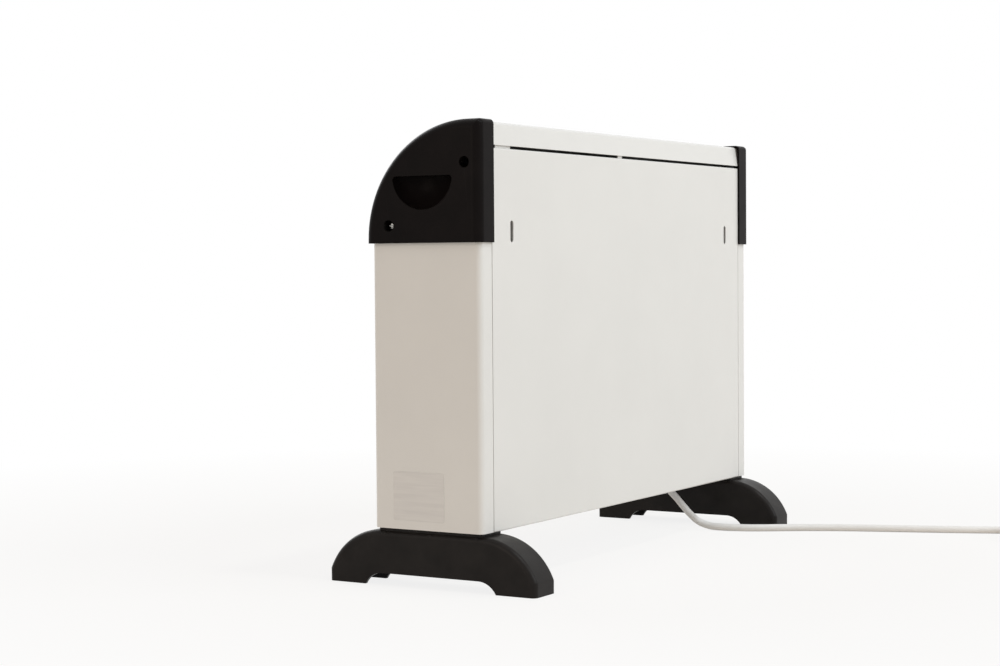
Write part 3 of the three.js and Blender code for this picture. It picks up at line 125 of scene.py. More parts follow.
class Nodes:
    """A small builder for one material's nodes."""

    def __init__(self, name):
        self.material = bpy.data.materials.new(name)
        self.material.use_nodes = True
        self.tree = self.material.node_tree
        self.shader = self.tree.nodes["Principled BSDF"]
        self.where = self.tree.nodes.new("ShaderNodeTexCoord").outputs["Object"]

    def link(self, source, target):
        self.tree.links.new(source, target)

    def texture(self, kind, scale, stretch=None):
        """A texture over the object's coordinates, which may be scaled along each axis."""
        node = self.tree.nodes.new(kind)
        node.inputs["Scale"].default_value = scale
        where = self.where
        if stretch:
            mapping = self.tree.nodes.new("ShaderNodeMapping")
            mapping.inputs["Scale"].default_value = stretch
            self.link(where, mapping.inputs["Vector"])
            where = mapping.outputs["Vector"]
        self.link(where, node.inputs["Vector"])
        return node

    def noise(self, scale, detail=3.0, roughness=0.55, stretch=None):
        node = self.texture("ShaderNodeTexNoise", scale, stretch)
        node.inputs["Detail"].default_value = detail
        node.inputs["Roughness"].default_value = roughness
        return node.outputs["Fac"]

    def cells(self, scale):
        return self.texture("ShaderNodeTexVoronoi", scale).outputs["Color"]

    def ramp(self, source, low, high, start=0.3, end=0.7):
        """Colours from low to high as source goes from start to end."""
        node = self.tree.nodes.new("ShaderNodeValToRGB")
        stops = node.color_ramp.elements
        stops[0].position, stops[1].position = start, end
        stops[0].color, stops[1].color = (*low, 1.0), (*high, 1.0)
        self.link(source, node.inputs["Fac"])
        return node.outputs["Color"]

    def spread(self, source, low, high):
        """A number from low to high as source goes from 0.3 to 0.7."""
        node = self.tree.nodes.new("ShaderNodeMapRange")
        node.inputs["From Min"].default_value = 0.3
        node.inputs["From Max"].default_value = 0.7
        node.inputs["To Min"].default_value = low
        node.inputs["To Max"].default_value = high
        self.link(source, node.inputs["Value"])
        return node.outputs["Result"]

    def bump(self, height, strength, distance, under=None):
        node = self.tree.nodes.new("ShaderNodeBump")
        node.inputs["Strength"].default_value = strength
        node.inputs["Distance"].default_value = distance
        self.link(height, node.inputs["Height"])
        if under is not None:
            self.link(under, node.inputs["Normal"])
        return node.outputs["Normal"]

    def set(self, **values):
        """Fixed numbers or links for the shader's sockets, named with underscores."""
        for key, value in values.items():
            socket = self.shader.inputs[key.replace("_", " ")]
            if isinstance(value, bpy.types.NodeSocket):
                self.link(value, socket)
            else:
                socket.default_value = value
        return self.material


def painted_steel(name, color):
    """Glossy stove enamel: faint mottling, orange peel and a slow waviness of the sheet."""
    n = Nodes(name)
    tone = n.ramp(n.noise(9.0, 4.0), scaled(color, 0.965), color)
    peel = n.bump(n.noise(620.0, 2.0), 0.10, 0.00025)
    sheet = n.bump(n.noise(7.0, 1.0), 0.10, 0.004, under=peel)
    gloss = n.spread(n.noise(34.0, 5.0, 0.7), 0.20, 0.27)
    return n.set(Base_Color=tone, Roughness=gloss, Normal=sheet, Specular_IOR_Level=0.5)


def moulded_plastic(name, color, roughness, grain, specular):
    """Moulded plastic with a fine spark-eroded grain and slightly polished patches."""
    n = Nodes(name)
    tone = n.ramp(n.noise(45.0, 4.0), scaled(color, 0.8), scaled(color, 1.2))
    fine = n.bump(n.noise(1500.0, 2.0, 0.7), grain, 0.00012)
    sink = n.bump(n.noise(22.0, 1.0), 0.06, 0.002, under=fine)
    gloss = n.spread(n.noise(60.0, 5.0, 0.65), roughness - 0.05, roughness + 0.06)
    return n.set(Base_Color=tone, Roughness=gloss, Normal=sink, Specular_IOR_Level=specular)


def zinc_steel(name, color):
    """Galvanised sheet with its pale and dark crystals."""
    n = Nodes(name)
    crystals = n.ramp(n.cells(110.0), scaled(color, 0.82), color, 0.2, 0.8)
    gloss = n.spread(n.noise(90.0, 4.0), 0.28, 0.44)
    scratch = n.bump(n.noise(240.0, 3.0, stretch=(1.0, 1.0, 9.0)), 0.12, 0.0002)
    return n.set(Base_Color=crystals, Metallic=1.0, Roughness=gloss, Normal=scratch)


def turned_metal(name, color, roughness, scale=700.0):
    """Bright metal with fine machining marks."""
    n = Nodes(name)
    tone = n.ramp(n.noise(120.0, 4.0), scaled(color, 0.86), color)
    marks = n.bump(n.noise(scale, 3.0, stretch=(1.0, 0.2, 0.2)), 0.18, 0.00012)
    gloss = n.spread(n.noise(160.0, 4.0), roughness - 0.06, roughness + 0.09)
    return n.set(Base_Color=tone, Metallic=1.0, Roughness=gloss, Normal=marks)


def flaky_mineral(name, color, scale, roughness, flake):
    """Mica sheet or fired ceramic: flecks in the colour and a grainy face."""
    n = Nodes(name)
    flecks = n.ramp(n.cells(scale), scaled(color, flake), color, 0.15, 0.85)
    grain = n.bump(n.noise(scale * 2.5, 4.0), 0.25, 0.00025)
    gloss = n.spread(n.noise(scale, 3.0), roughness - 0.1, roughness)
    return n.set(Base_Color=flecks, Roughness=gloss, Normal=grain)


def soft_vinyl(name, color, roughness=0.4):
    """The sleeve of a flexible lead, or soft print: a little mottled, with a fine skin."""
    n = Nodes(name)
    tone = n.ramp(n.noise(60.0, 3.0), scaled(color, 0.95), color)
    skin = n.bump(n.noise(900.0, 2.0), 0.12, 0.00015)
    gloss = n.spread(n.noise(70.0, 4.0), roughness - 0.05, roughness + 0.07)
    return n.set(Base_Color=tone, Roughness=gloss, Normal=skin, Specular_IOR_Level=0.4)


def label_film():
    """Silver polyester label, faintly brushed."""
    n = Nodes("label_film")
    tone = n.ramp(n.noise(300.0, 4.0, stretch=(1.0, 0.06, 1.0)), (0.66, 0.64, 0.62), (0.73, 0.71, 0.685))
    brush = n.bump(n.noise(1200.0, 2.0, stretch=(1.0, 0.05, 1.0)), 0.08, 0.0001)
    gloss = n.spread(n.noise(80.0, 3.0), 0.34, 0.44)
    return n.set(Base_Color=tone, Metallic=0.15, Roughness=gloss, Normal=brush)


white_paint = painted_steel("white_paint", (0.82, 0.815, 0.80))
black_plastic = moulded_plastic("black_plastic", (0.0064, 0.0048, 0.0046), 0.32, 0.16, 0.05)
# The feet's copy of the black plastic, painted lighter to stand for the bounce light from the floor on the
# feet.
foot_black_painted_lighter = moulded_plastic("foot_black_painted_lighter", (0.0170, 0.0150, 0.0140), 0.34, 0.2, 0.09)
# Dark grey that paints the shade in the gap under the grille's flange, on the heat shield and on the sheet
# past its end.
gap_shade_black = moulded_plastic("gap_shade_black", (0.075, 0.078, 0.074), 0.6, 0.5, 0.1)
gloss_black = moulded_plastic("gloss_black", (0.006, 0.006, 0.006), 0.2, 0.05, 0.35)
red_plastic = moulded_plastic("red_plastic", (0.42, 0.012, 0.012), 0.2, 0.05, 0.5)
strap_black = moulded_plastic("strap_black", (0.02, 0.02, 0.02), 0.8, 0.6, 0.2)
zinc = zinc_steel("zinc", (0.60, 0.61, 0.62))
screw_metal = turned_metal("screw_metal", (0.62, 0.62, 0.60), 0.3)
brass = turned_metal("brass", (0.66, 0.48, 0.20), 0.3)
hot_ribbon = turned_metal("hot_ribbon", (0.34, 0.29, 0.25), 0.42, 400.0)
mica = flaky_mineral("mica", (0.52, 0.40, 0.22), 260.0, 0.55, 0.72)
ceramic = flaky_mineral("ceramic", (0.78, 0.74, 0.64), 500.0, 0.75, 0.9)
white_vinyl = soft_vinyl("white_vinyl", (0.88, 0.87, 0.86))
brown_lead = soft_vinyl("brown_lead", (0.16, 0.06, 0.025))
blue_lead = soft_vinyl("blue_lead", (0.03, 0.12, 0.40))
pale_lead = soft_vinyl("pale_lead", (0.66, 0.63, 0.57), 0.6)
earth_lead = soft_vinyl("earth_lead", (0.30, 0.42, 0.04))
mark_white = soft_vinyl("mark_white", (0.80, 0.80, 0.78), 0.5)
label_foil = label_film()

# -------- shape helpers


def arc(cx, cy, radius, start, end, steps):
    angles = (math.radians(start + (end - start) * i / steps) for i in range(steps + 1))
    return [(cx + radius * math.cos(a), cy + radius * math.sin(a)) for a in angles]


def rounded(x0, x1, y0, y1, radius, steps=6):
    return (arc(x1 - radius, y0 + radius, radius, -90, 0, steps)
            + arc(x1 - radius, y1 - radius, radius, 0, 90, steps)
            + arc(x0 + radius, y1 - radius, radius, 90, 180, steps)
            + arc(x0 + radius, y0 + radius, radius, 180, 270, steps))


def sheet_outline(path, thickness):
    """The outline of a bent sheet that lies to the right of a path."""
    points = [Vector(p) for p in path]

    def normal(a, b):
        along = (b - a).normalized()
        return Vector((along.y, -along.x))

    inner = []
    for i, p in enumerate(points):
        before = normal(points[i - 1], p) if i else normal(p, points[1])
        after = normal(p, points[i + 1]) if i + 1 < len(points) else before
        mitre = (before + after).normalized()
        inner.append(p + mitre * (thickness / mitre.dot(before)))
    return [tuple(p) for p in points] + [tuple(p) for p in reversed(inner)]


AXES = {
    "x": lambda a, b, t: (t, a, b),
    "y": lambda a, b, t: (a, t, b),
    "z": lambda a, b, t: (a, b, t),
}


def shape_of(vertices, faces):
    """A mesh shape with its normals outwards."""
    shape = bmesh.new()
    made = [shape.verts.new(v) for v in vertices]
    for face in faces:
        shape.faces.new([made[i] for i in face])
    bmesh.ops.recalc_face_normals(shape, faces=shape.faces)
    return shape


def band_faces(first, second, count):
    """Quads between two rings of points, each given by the index of its first point."""
    return [(first + i, first + (i + 1) % count, second + (i + 1) % count, second + i)
            for i in range(count)]


def loft(rings):
    """A solid through rings of points, closed by a face at both ends."""
    count = len(rings[0])
    last = (len(rings) - 1) * count
    faces = []
    for start in range(0, last, count):
        faces += band_faces(start, start + count, count)
    faces.append(tuple(reversed(range(count))))
    faces.append(tuple(last + i for i in range(count)))
    return shape_of([p for ring in rings for p in ring], faces)


def prism(axis, outline, start, end):
    to_point = AXES[axis]
    return loft([[to_point(a, b, t) for a, b in outline] for t in (start, end)])


def box(x0, x1, y0, y1, z0, z1):
    return prism("z", [(x0, y0), (x1, y0), (x1, y1), (x0, y1)], z0, z1)


def block(x0, x1, y, z, half_y, half_z):
    """A box along x, by the middle and the half sizes of its section."""
    return box(x0, x1, y - half_y, y + half_y, z - half_z, z + half_z)


def rod(axis, radius, start, end, a, b, sides=40):
    return prism(axis, arc(a, b, radius, 0, 360 - 360 / sides, sides - 1), start, end)


def lathe(axis, profile, a, b, sides=64, radius_at=None):
    """A closed turned shape; its profile holds (radius, distance along the axis)."""
    to_point = AXES[axis]
    rings = []
    for radius, t in profile:
        ring = []
        for i in range(sides):
            angle = 2 * math.pi * i / sides
            r = radius_at(radius, t, angle) if radius_at else radius
            ring.append(to_point(a + r * math.cos(angle), b + r * math.sin(angle), t))
        rings.append(ring)
    return loft(rings)


def as_mesh(shape, name="part"):
    """A shape as a mesh; the shape itself is freed."""
    mesh = bpy.data.meshes.new(name)
    shape.to_mesh(mesh)
    shape.free()
    return mesh


def evaluated_mesh(made):
    """A new mesh of an object with its modifiers applied, or of its text."""
    graph = bpy.context.evaluated_depsgraph_get()
    return bpy.data.meshes.new_from_object(made.evaluated_get(graph))


def as_shape(mesh):
    """A mesh as a shape; the mesh itself is removed."""
    shape = bmesh.new()
    shape.from_mesh(mesh)
    bpy.data.meshes.remove(mesh)
    return shape


WELD = 1e-3


def combine(shape, operation, *others):
    """Shape with the others added, cut away or kept in common."""
    base, *tools = [in_scene("part", as_mesh(part)) for part in (shape, *others)]
    for tool in tools:
        modifier = base.modifiers.new("combine", "BOOLEAN")
        modifier.operation = operation
        modifier.solver = "EXACT"
        modifier.object = tool
    mesh = evaluated_mesh(base)
    for made in (base, *tools):
        bpy.data.objects.remove(made)
    result = as_shape(mesh)
    bmesh.ops.remove_doubles(result, verts=result.verts, dist=WELD)
    bmesh.ops.dissolve_degenerate(result, edges=result.edges, dist=WELD)
    bmesh.ops.dissolve_limit(result, verts=result.verts, edges=result.edges,
                             angle_limit=math.radians(0.3))
    return result


def add(shape, *others):
    return combine(shape, "UNION", *others)


def cut(shape, *others):
    return combine(shape, "DIFFERENCE", *others)


def common(shape, other):
    return combine(shape, "INTERSECT", other)


def merged(*shapes):
    """Shapes that don't touch, as one."""
    whole = shapes[0]
    for other in shapes[1:]:
        mesh = as_mesh(other)
        whole.from_mesh(mesh)
        bpy.data.meshes.remove(mesh)
    return whole


def soften(shape, width, segments=2, angle=30, where=None):
    """Rounds the shape's sharp edges, or those whose middle passes a test."""
    limit = math.radians(angle)
    edges = [e for e in shape.edges
             if len(e.link_faces) == 2 and e.calc_face_angle() > limit
             and (where is None or where((e.verts[0].co + e.verts[1].co) / 2))]
    bmesh.ops.bevel(shape, geom=edges, offset=width, segments=segments, profile=0.5,
                    affect="EDGES", clamp_overlap=True)
    return shape


def mirrored(shape):
    """The same shape on the other side of the heater's middle."""
    copy = shape.copy()
    bmesh.ops.scale(copy, vec=(-1, 1, 1), verts=copy.verts)
    bmesh.ops.reverse_faces(copy, faces=copy.faces)
    return copy


def turned(shape, axis, angle, centre):
    """Shape turned about an axis through its own origin, then moved to a centre."""
    shape.transform(Matrix.Translation(centre) @ Matrix.Rotation(angle, 4, axis))
    return shape


SHARP_EDGE = math.radians(32)


def piece(name, shape, material, nodes=(), body="heater"):
    """A shape as a finished piece, which rides on a body and may stand for CAD nodes."""
    for vertex in shape.verts:
        vertex.co = place(vertex.co)
    for edge in shape.edges:
        edge.smooth = len(edge.link_faces) != 2 or edge.calc_face_angle() < SHARP_EDGE
    for face in shape.faces:
        face.smooth = True
    mesh = as_mesh(shape, name)
    mesh.materials.append(material)
    made = in_scene(name, mesh)
    even = made.modifiers.new("even_normals", "WEIGHTED_NORMAL")
    even.keep_sharp = True
    even.weight = 100
    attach(made, body)
    if nodes:
        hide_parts(*nodes)
    return made


# -------- power cord

COIL_INNER, COIL_OUTER = 35.5, 42.5
COIL_LAYERS = (CORD_RADIUS, 3 * CORD_RADIUS, 5 * CORD_RADIUS)
COIL_ARRIVAL, COIL_TRAVEL, COIL_STEP = 200.5, 1550.5, 15.0  # degrees
COIL_CHANGES = [(270, 355), (605, 680), (925, 1010), (1260, 1335)]  # degrees of travel


def coil_line():
    """The turns of the coil, clockwise from above, from the cord's arrival to its tail."""
    low, middle, high = COIL_LAYERS
    tracks = [(COIL_OUTER, low), (COIL_INNER, low), (COIL_INNER, middle), (COIL_OUTER, middle),
              (COIL_OUTER, high)]
    count = round(COIL_TRAVEL / COIL_STEP)
    points = []
    for i in range(count + 1):
        gone = COIL_TRAVEL * i / count
        radius, height = tracks[0]
        for (start, end), before, after in zip(COIL_CHANGES, tracks, tracks[1:]):
            share = min(max((gone - start) / (end - start), 0.0), 1.0)
            eased = share * share * (3 - 2 * share)
            if share > 0:
                radius = before[0] + (after[0] - before[0]) * eased
                height = before[1] + (after[1] - before[1]) * eased
        angle = math.radians(COIL_ARRIVAL - gone)
        points.append((COIL_CENTRE[0] + radius * math.cos(angle),
                       COIL_CENTRE[1] + radius * math.sin(angle), height))
    return points


TAIL_X = COIL_CENTRE[0]
TAIL_Y = COIL_CENTRE[1] + COIL_OUTER
TAIL_Z = COIL_LAYERS[2]
tail = [(TAIL_X + reach, TAIL_Y, TAIL_Z) for reach in (8.0, 16.0, 24.0, 32.0)]
cord_points = [place(p) for p in CORD_ROUTE + coil_line() + tail]

cord_curve = bpy.data.curves.new("mains_cord", "CURVE")
cord_curve.dimensions = "3D"
cord_curve.bevel_depth = CORD_RADIUS * MM
cord_curve.bevel_resolution = 5
cord_curve.resolution_u = 6
cord_curve.use_fill_caps = True
spline = cord_curve.splines.new("BEZIER")
spline.bezier_points.add(len(cord_points) - 1)
for knot, spot in zip(spline.bezier_points, cord_points):
    knot.co = spot
    knot.handle_left_type = knot.handle_right_type = "AUTO"
cord_curve.materials.append(white_vinyl)
mains_cord = in_scene("mains_cord", cord_curve)
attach(mains_cord, "heater")
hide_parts("power_cord", "cord_coil", "cord_tail")

RELIEF_BASE = (-182.9, -11.9, 49.6)
RELIEF_ROOT, RELIEF_TIP = 5.6, 4.7
RELIEF_RIB_HEIGHT, RELIEF_RIBS = 0.35, 9
RELIEF_STEPS, RELIEF_SIDES = 26, 32
BUSH_NECK_RADIUS = 6.0
BUSH_FLANGES = ((47.3, 49.25), (50.75, 52.7))  # under and over the intake grille


def strain_relief():
    """The bush in the intake grille and its tapered, ribbed nozzle."""
    base = Vector(RELIEF_BASE)
    tip = Vector(CORD_ROUTE[0])
    axis = (tip - base).normalized()
    sideways = Vector((1, 0, 0))
    up = axis.cross(sideways)
    length = (tip - base).length
    rings = []
    for i in range(RELIEF_STEPS + 1):
        share = i / RELIEF_STEPS
        radius = RELIEF_ROOT + (RELIEF_TIP - RELIEF_ROOT) * share
        if 0.25 < share < 0.92:
            radius += RELIEF_RIB_HEIGHT * math.cos(share * 2 * math.pi * RELIEF_RIBS)
        middle = base + axis * (0.5 + (length - 0.8) * share)
        angles = (2 * math.pi * k / RELIEF_SIDES for k in range(RELIEF_SIDES))
        rings.append([tuple(middle + sideways * (radius * math.cos(a)) + up * (radius * math.sin(a)))
                      for a in angles])
    above_grille = box(base.x - 20, base.x + 20, base.y - 20, base.y + 20, 49.0, 70.0)
    nozzle = cut(loft(rings), above_grille)
    flanges = [lathe("z", [(7.6, z0), (8.8, z0 + 0.5), (9.0, z0 + 1.2), (9.0, z1)], base.x, base.y, 48)
               for z0, z1 in BUSH_FLANGES]
    neck = rod("z", BUSH_NECK_RADIUS, 48.5, 52.0, base.x, base.y)
    return add(flanges[0], neck, flanges[1], nozzle)


gland = piece("strain_relief", strain_relief(), black_plastic, ["cord_gland"])

TIE_ANGLE = math.radians(40)
TIE_HALF_WIDTH = 6.0
TIE_OUTER, TIE_OUTER_CORNER = (31.2, 46.8, 0.05, 15.0), 3.6
TIE_INNER, TIE_INNER_CORNER = (32.1, 45.9, 0.95, 14.1), 2.7


def coil_tie():
    """A hook-and-loop strap round the coil's section."""
    outward = Vector((math.cos(TIE_ANGLE), math.sin(TIE_ANGLE), 0))
    sideways = Vector((-math.sin(TIE_ANGLE), math.cos(TIE_ANGLE), 0))
    centre = Vector((*COIL_CENTRE, 0))
    outer = rounded(*TIE_OUTER, TIE_OUTER_CORNER)
    inner = rounded(*TIE_INNER, TIE_INNER_CORNER)
    rings = []
    for outline, half in ((outer, TIE_HALF_WIDTH), (outer, -TIE_HALF_WIDTH),
                          (inner, -TIE_HALF_WIDTH), (inner, TIE_HALF_WIDTH)):
        rings.append([tuple(centre + outward * r + sideways * half + Vector((0, 0, z)))
                      for r, z in outline])
    count = len(outer)
    faces = []
    for ring in range(4):
        faces += band_faces(ring * count, (ring + 1) % 4 * count, count)
    return soften(shape_of([p for ring in rings for p in ring], faces), 0.2)


tie = piece("coil_tie", coil_tie(), strap_black)

PLUG_X = TAIL_X + 32.3
NECK_LENGTH = 15.0
NECK_STEPS = 16
GRIP_X = PLUG_X + 16
PLUG_FACE_X = GRIP_X + 40
FLUTES, FLUTE_DEPTH = 14, 0.45
PIN_SPREAD, PIN_RADIUS = 9.5, 2.4
EARTH_SLOT_HALF, EARTH_HALF, EARTH_THICKNESS = 3.0, 2.0, 0.6


def plug_shell():
    """A round two-pin plug: ribbed relief, waisted grip with finger flutes and a flared face."""
    relief = []
    for i in range(NECK_STEPS + 1):
        share = i / NECK_STEPS
        rib = 0.3 * math.cos(share * 2 * math.pi * 5) if 0 < i < NECK_STEPS else 0
        relief.append((4.5 + 1.4 * share + rib, PLUG_X + NECK_LENGTH * share))
    grip = [(radius, GRIP_X + x) for radius, x in (
        (10.4, 0.2), (11.6, 0.9), (12.4, 3), (13.2, 6), (13.5, 9), (13.4, 14), (13.5, 19), (14.2, 22),
        (15.4, 25), (16.7, 28), (17.3, 30.5), (17.5, 33))]
    flare = [(17.5, PLUG_FACE_X - 1.6), (17.2, PLUG_FACE_X - 0.7), (16.4, PLUG_FACE_X)]

    def fluted(radius, x, angle):
        if not GRIP_X + 5 < x < GRIP_X + 24:
            return radius
        return radius - FLUTE_DEPTH * (0.5 + 0.5 * math.cos(angle * FLUTES))

    body = lathe("x", relief + grip + flare, TAIL_Y, TAIL_Z, 96, fluted)
    slots = [box(PLUG_FACE_X - 26, PLUG_FACE_X + 1, TAIL_Y - EARTH_SLOT_HALF,
                 TAIL_Y + EARTH_SLOT_HALF, z, z + 3.6)
             for z in (TAIL_Z + 15.4, TAIL_Z - 19)]
    return cut(body, *slots)


def plug_pins():
    root, tip = PLUG_FACE_X - 3, PLUG_FACE_X + 19
    profile = [(PIN_RADIUS, root), (PIN_RADIUS, tip - 2.4), (2.2, tip - 1.2), (1.6, tip - 0.4), (0.8, tip)]
    return merged(*(lathe("x", profile, TAIL_Y + y, TAIL_Z, 32) for y in (-PIN_SPREAD, PIN_SPREAD)))


def plug_earths():
    """Sprung earth contacts in the plug's two side slots."""
    x0, x1 = PLUG_FACE_X - 22, PLUG_FACE_X - 0.4
    strips = []
    for side in (-1, 1):
        path = [(x0, TAIL_Z + side * 15.5), (x0 + 4, TAIL_Z + side * 16.2),
                (x1 - 3, TAIL_Z + side * 16.4), (x1, TAIL_Z + side * 15.6)]
        outline = sheet_outline(path if side < 0 else path[::-1], EARTH_THICKNESS)
        strips.append(prism("y", outline, TAIL_Y - EARTH_HALF, TAIL_Y + EARTH_HALF))
    return merged(*strips)


plug = piece("plug_shell", plug_shell(), white_vinyl, ["plug_body"])
pins = piece("plug_pins", plug_pins(), screw_metal, ["plug_pin_front", "plug_pin_rear"])
earths = piece("plug_earths", plug_earths(), brass)

# -------- body sheets

CASING_BEND = 5.0
CASING_FLANGE = 17.5
SEAM_LIP = 9.0
SEAM_LIP_HALF = 236.0
PANEL_LIP_Y = 40.6


def both_sides(x0, x1):
    """The ranges of x between two distances from the middle, right and left."""
    return ((x0, x1), (-x1, -x0))


def control_holes(x0, x1):
    """Cutters for the thermostat's shaft and the switches, from x0 to x1."""
    return [rod("x", SHAFT_HOLE_RADIUS, x0, x1, 0, DIAL_Z)] + [
        block(x0, x1, y, SWITCH_Z, SWITCH_HALF_Y, SWITCH_HALF_Z) for y in SWITCH_YS]


def casing():
    """The wrap round front and ends, with rear flanges and lips."""
    bend = CASING_BEND
    half = ([(BODY_HALF - CASING_FLANGE, BACK_Y)]
            + arc(BODY_HALF - bend, BACK_Y - bend, bend, 90, 0, 10)
            + arc(BODY_HALF - bend, FRONT_Y + bend, bend, 0, -90, 10))
    path = half + [(-x, y) for x, y in reversed(half)]
    walls = prism("z", sheet_outline(path, SHEET), BODY_BOTTOM, BODY_SEAM)
    lip_top = BODY_BOTTOM + SHEET
    lips = [box(x0, x1, FRONT_Y + 6, PANEL_LIP_Y, BODY_BOTTOM, lip_top)
            for x0, x1 in both_sides(228, BODY_HALF - 0.4)]
    front_lips = [box(-224.5, 224.5, FRONT_Y + 0.4, FRONT_Y + 12, BODY_BOTTOM, lip_top),
                  box(-SEAM_LIP_HALF, SEAM_LIP_HALF, FRONT_Y + 0.4, FRONT_Y + SEAM_LIP,
                      BODY_SEAM - SHEET, BODY_SEAM)]
    holes = control_holes(-BODY_HALF - 2, -BODY_HALF + 2)
    holes += [rod("z", FOOT_HOLE_RADIUS, 47, 51, sx * FOOT_SCREW_X, sy * FOOT_SCREW_Y)
              for sx in (1, -1) for sy in (1, -1)]
    return soften(cut(add(walls, *lips, *front_lips), *holes), 0.18, 2, 50)


GRILLE_HALF = 253.5
GRILLE_FLANGE_Z = 365.0
GRILLE_BEND, GRILLE_LEAN = 3.0, 2.5
OUTLET_ROWS, OUTLET_COLUMNS = 11, 5
OUTLET_ROW_STEP, OUTLET_START = 5, 3.5  # degrees, rows from the arc's start
OUTLET_PITCH = 94
OUTLET_HALF_X, OUTLET_HALF_Z, OUTLET_CORNER = 42, 2.3, 1.6


def outlet_grille():
    """The curved front and top with its outlet slots and the flange over the back panel."""
    radius = BODY_ARC_RADIUS
    lip_z = BODY_SEAM + GAP
    path = ([(FRONT_Y + SEAM_LIP, lip_z), (FRONT_Y, lip_z)]
            + arc(BODY_ARC_Y, BODY_ARC_Z, radius, 180, 90, 72)[1:]
            + arc(BACK_Y - GRILLE_LEAN - GRILLE_BEND, BODY_TOP - GRILLE_BEND, GRILLE_BEND, 90, 0, 8)
            + [(BACK_Y, GRILLE_FLANGE_Z)])
    skin = prism("x", sheet_outline(path, SHEET), -GRILLE_HALF, GRILLE_HALF)
    cutters = [box(x0, x1, FRONT_Y + 1.1, FRONT_Y + 10, lip_z - 1, lip_z + 2)
               for x0, x1 in both_sides(SEAM_LIP_HALF, 255)]
    outline = rounded(-OUTLET_HALF_X, OUTLET_HALF_X, -OUTLET_HALF_Z, OUTLET_HALF_Z, OUTLET_CORNER, 4)
    slots = []
    for row in range(OUTLET_ROWS):
        angle = math.radians(180 - OUTLET_ROW_STEP * (row + OUTLET_START))
        y, z = BODY_ARC_Y + radius * math.cos(angle), BODY_ARC_Z + radius * math.sin(angle)
        for column in range(OUTLET_COLUMNS):
            x = (column - (OUTLET_COLUMNS - 1) / 2) * OUTLET_PITCH
            slots.append(turned(prism("y", outline, -3.2, 3.2), "X", angle, (x, y, z)))
    return soften(cut(skin, merged(*slots), *cutters), 0.2, 2, 50)


PANEL_TOP, PANEL_BOTTOM = 362.7, 48.0
PANEL_EDGE, PANEL_LAP = 241.6, 250.0
PANEL_BEND = 1.5
PANEL_RETURN_TOP_Y, PANEL_RETURN_BOTTOM_Y = 43.9, 40.9
PANEL_RETURN_HALF = 236.0
PANEL_TABS = ((13, 8), (221, 24))  # middle and width; the photo shows none near the far end
PANEL_TAB_Y, PANEL_TAB_RISE = 50.3, 5.5
JOGGLE_BOTTOM, JOGGLE_TOP = 53.5, 359.7
HANG_SLOT_X, HANG_SLOT_HALF, HANG_SLOT_ZS = 210.0, 2.5, (285.7, 303.7)


def rear_panel():
    """The back sheet: a flush pan, whose joggled sides slip under the casing's flanges."""
    bend = PANEL_BEND
    under_y = BACK_Y - GAP - SHEET
    path = ([(PANEL_RETURN_TOP_Y, PANEL_TOP)] + arc(BACK_Y - bend, PANEL_TOP - bend, bend, 90, 0, 6)
            + arc(BACK_Y - bend, PANEL_BOTTOM + bend, bend, 0, -90, 6)
            + [(PANEL_RETURN_BOTTOM_Y, PANEL_BOTTOM)])
    pan = prism("x", sheet_outline(path, SHEET), -PANEL_EDGE, PANEL_EDGE)
    joggle = [(PANEL_EDGE - SHEET, BACK_Y - 0.4), (PANEL_EDGE - SHEET, under_y - SHEET),
              (PANEL_LAP, under_y - SHEET), (PANEL_LAP, under_y), (PANEL_EDGE, under_y),
              (PANEL_EDGE, BACK_Y - 0.4)]
    cutters, additions = [], []
    for side, (x0, x1) in zip((1, -1), both_sides(PANEL_RETURN_HALF, PANEL_LAP + 1)):
        middle = side * HANG_SLOT_X
        slot = rounded(middle - HANG_SLOT_HALF, middle + HANG_SLOT_HALF, *HANG_SLOT_ZS, 2.49, 8)
        cutters += [box(x0, x1, 39, BACK_Y - SHEET, PANEL_BOTTOM - 1, PANEL_TOP + 1),
                    prism("y", slot, 49, 54)]
        additions.append(prism("z", [(side * x, y) for x, y in joggle], JOGGLE_BOTTOM, JOGGLE_TOP))
    additions += [box(x - width / 2, x + width / 2, PANEL_TAB_Y, PANEL_TAB_Y + SHEET,
                      PANEL_TOP - SHEET, PANEL_TOP + PANEL_TAB_RISE)
                  for x, width in PANEL_TABS]
    return soften(add(cut(pan, *cutters), *additions), 0.15, 2, 50)


def shield_wing():
    """A dark sheet that continues the rear heat shield over the control bay, seen above the panel; it
    paints the shade in the gap there.
    """
    return box(-237.9, -170.0, 37.4, 38.0, 354.0, 377.6)


LABEL_YS, LABEL_ZS = (-33.5, 16.3), (55.7, 96.5)


def rating_label():
    outline = rounded(*LABEL_YS, *LABEL_ZS, 1.5)
    return soften(prism("x", outline, BODY_HALF + 0.02, BODY_HALF + 0.3), 0.08)


piece("shield_wing", shield_wing(), gap_shade_black)
piece("casing", casing(), white_paint, ["casing_wrap"])
piece("outlet_grille", outlet_grille(), white_paint, ["top_grille"])
piece("rear_panel", rear_panel(), white_paint, ["back_panel"])
piece("rating_label", rating_label(), label_foil, ["blank_label"])

# -------- end caps and feet


def side_profile(front, back, top, radius, corner):
    """A side outline as a function of its inset: straight front, arc to the top, straight back."""
    def outline(inset, bottom):
        kept = max(corner - inset, 0.5)
        return ([(front + inset, bottom)]
                + arc(front + radius, top - radius, radius - inset, 180, 90, 64)
                + arc(back - inset - kept, top - inset - kept, kept, 90, 0, 8)
                + [(back - inset, bottom)])
    return outline


cap_profile = side_profile(CAP_FRONT_Y, CAP_BACK_Y, CAP_TOP, CAP_ARC_RADIUS, 4)
body_profile = side_profile(FRONT_Y, BACK_Y, BODY_TOP, BODY_ARC_RADIUS, 2)


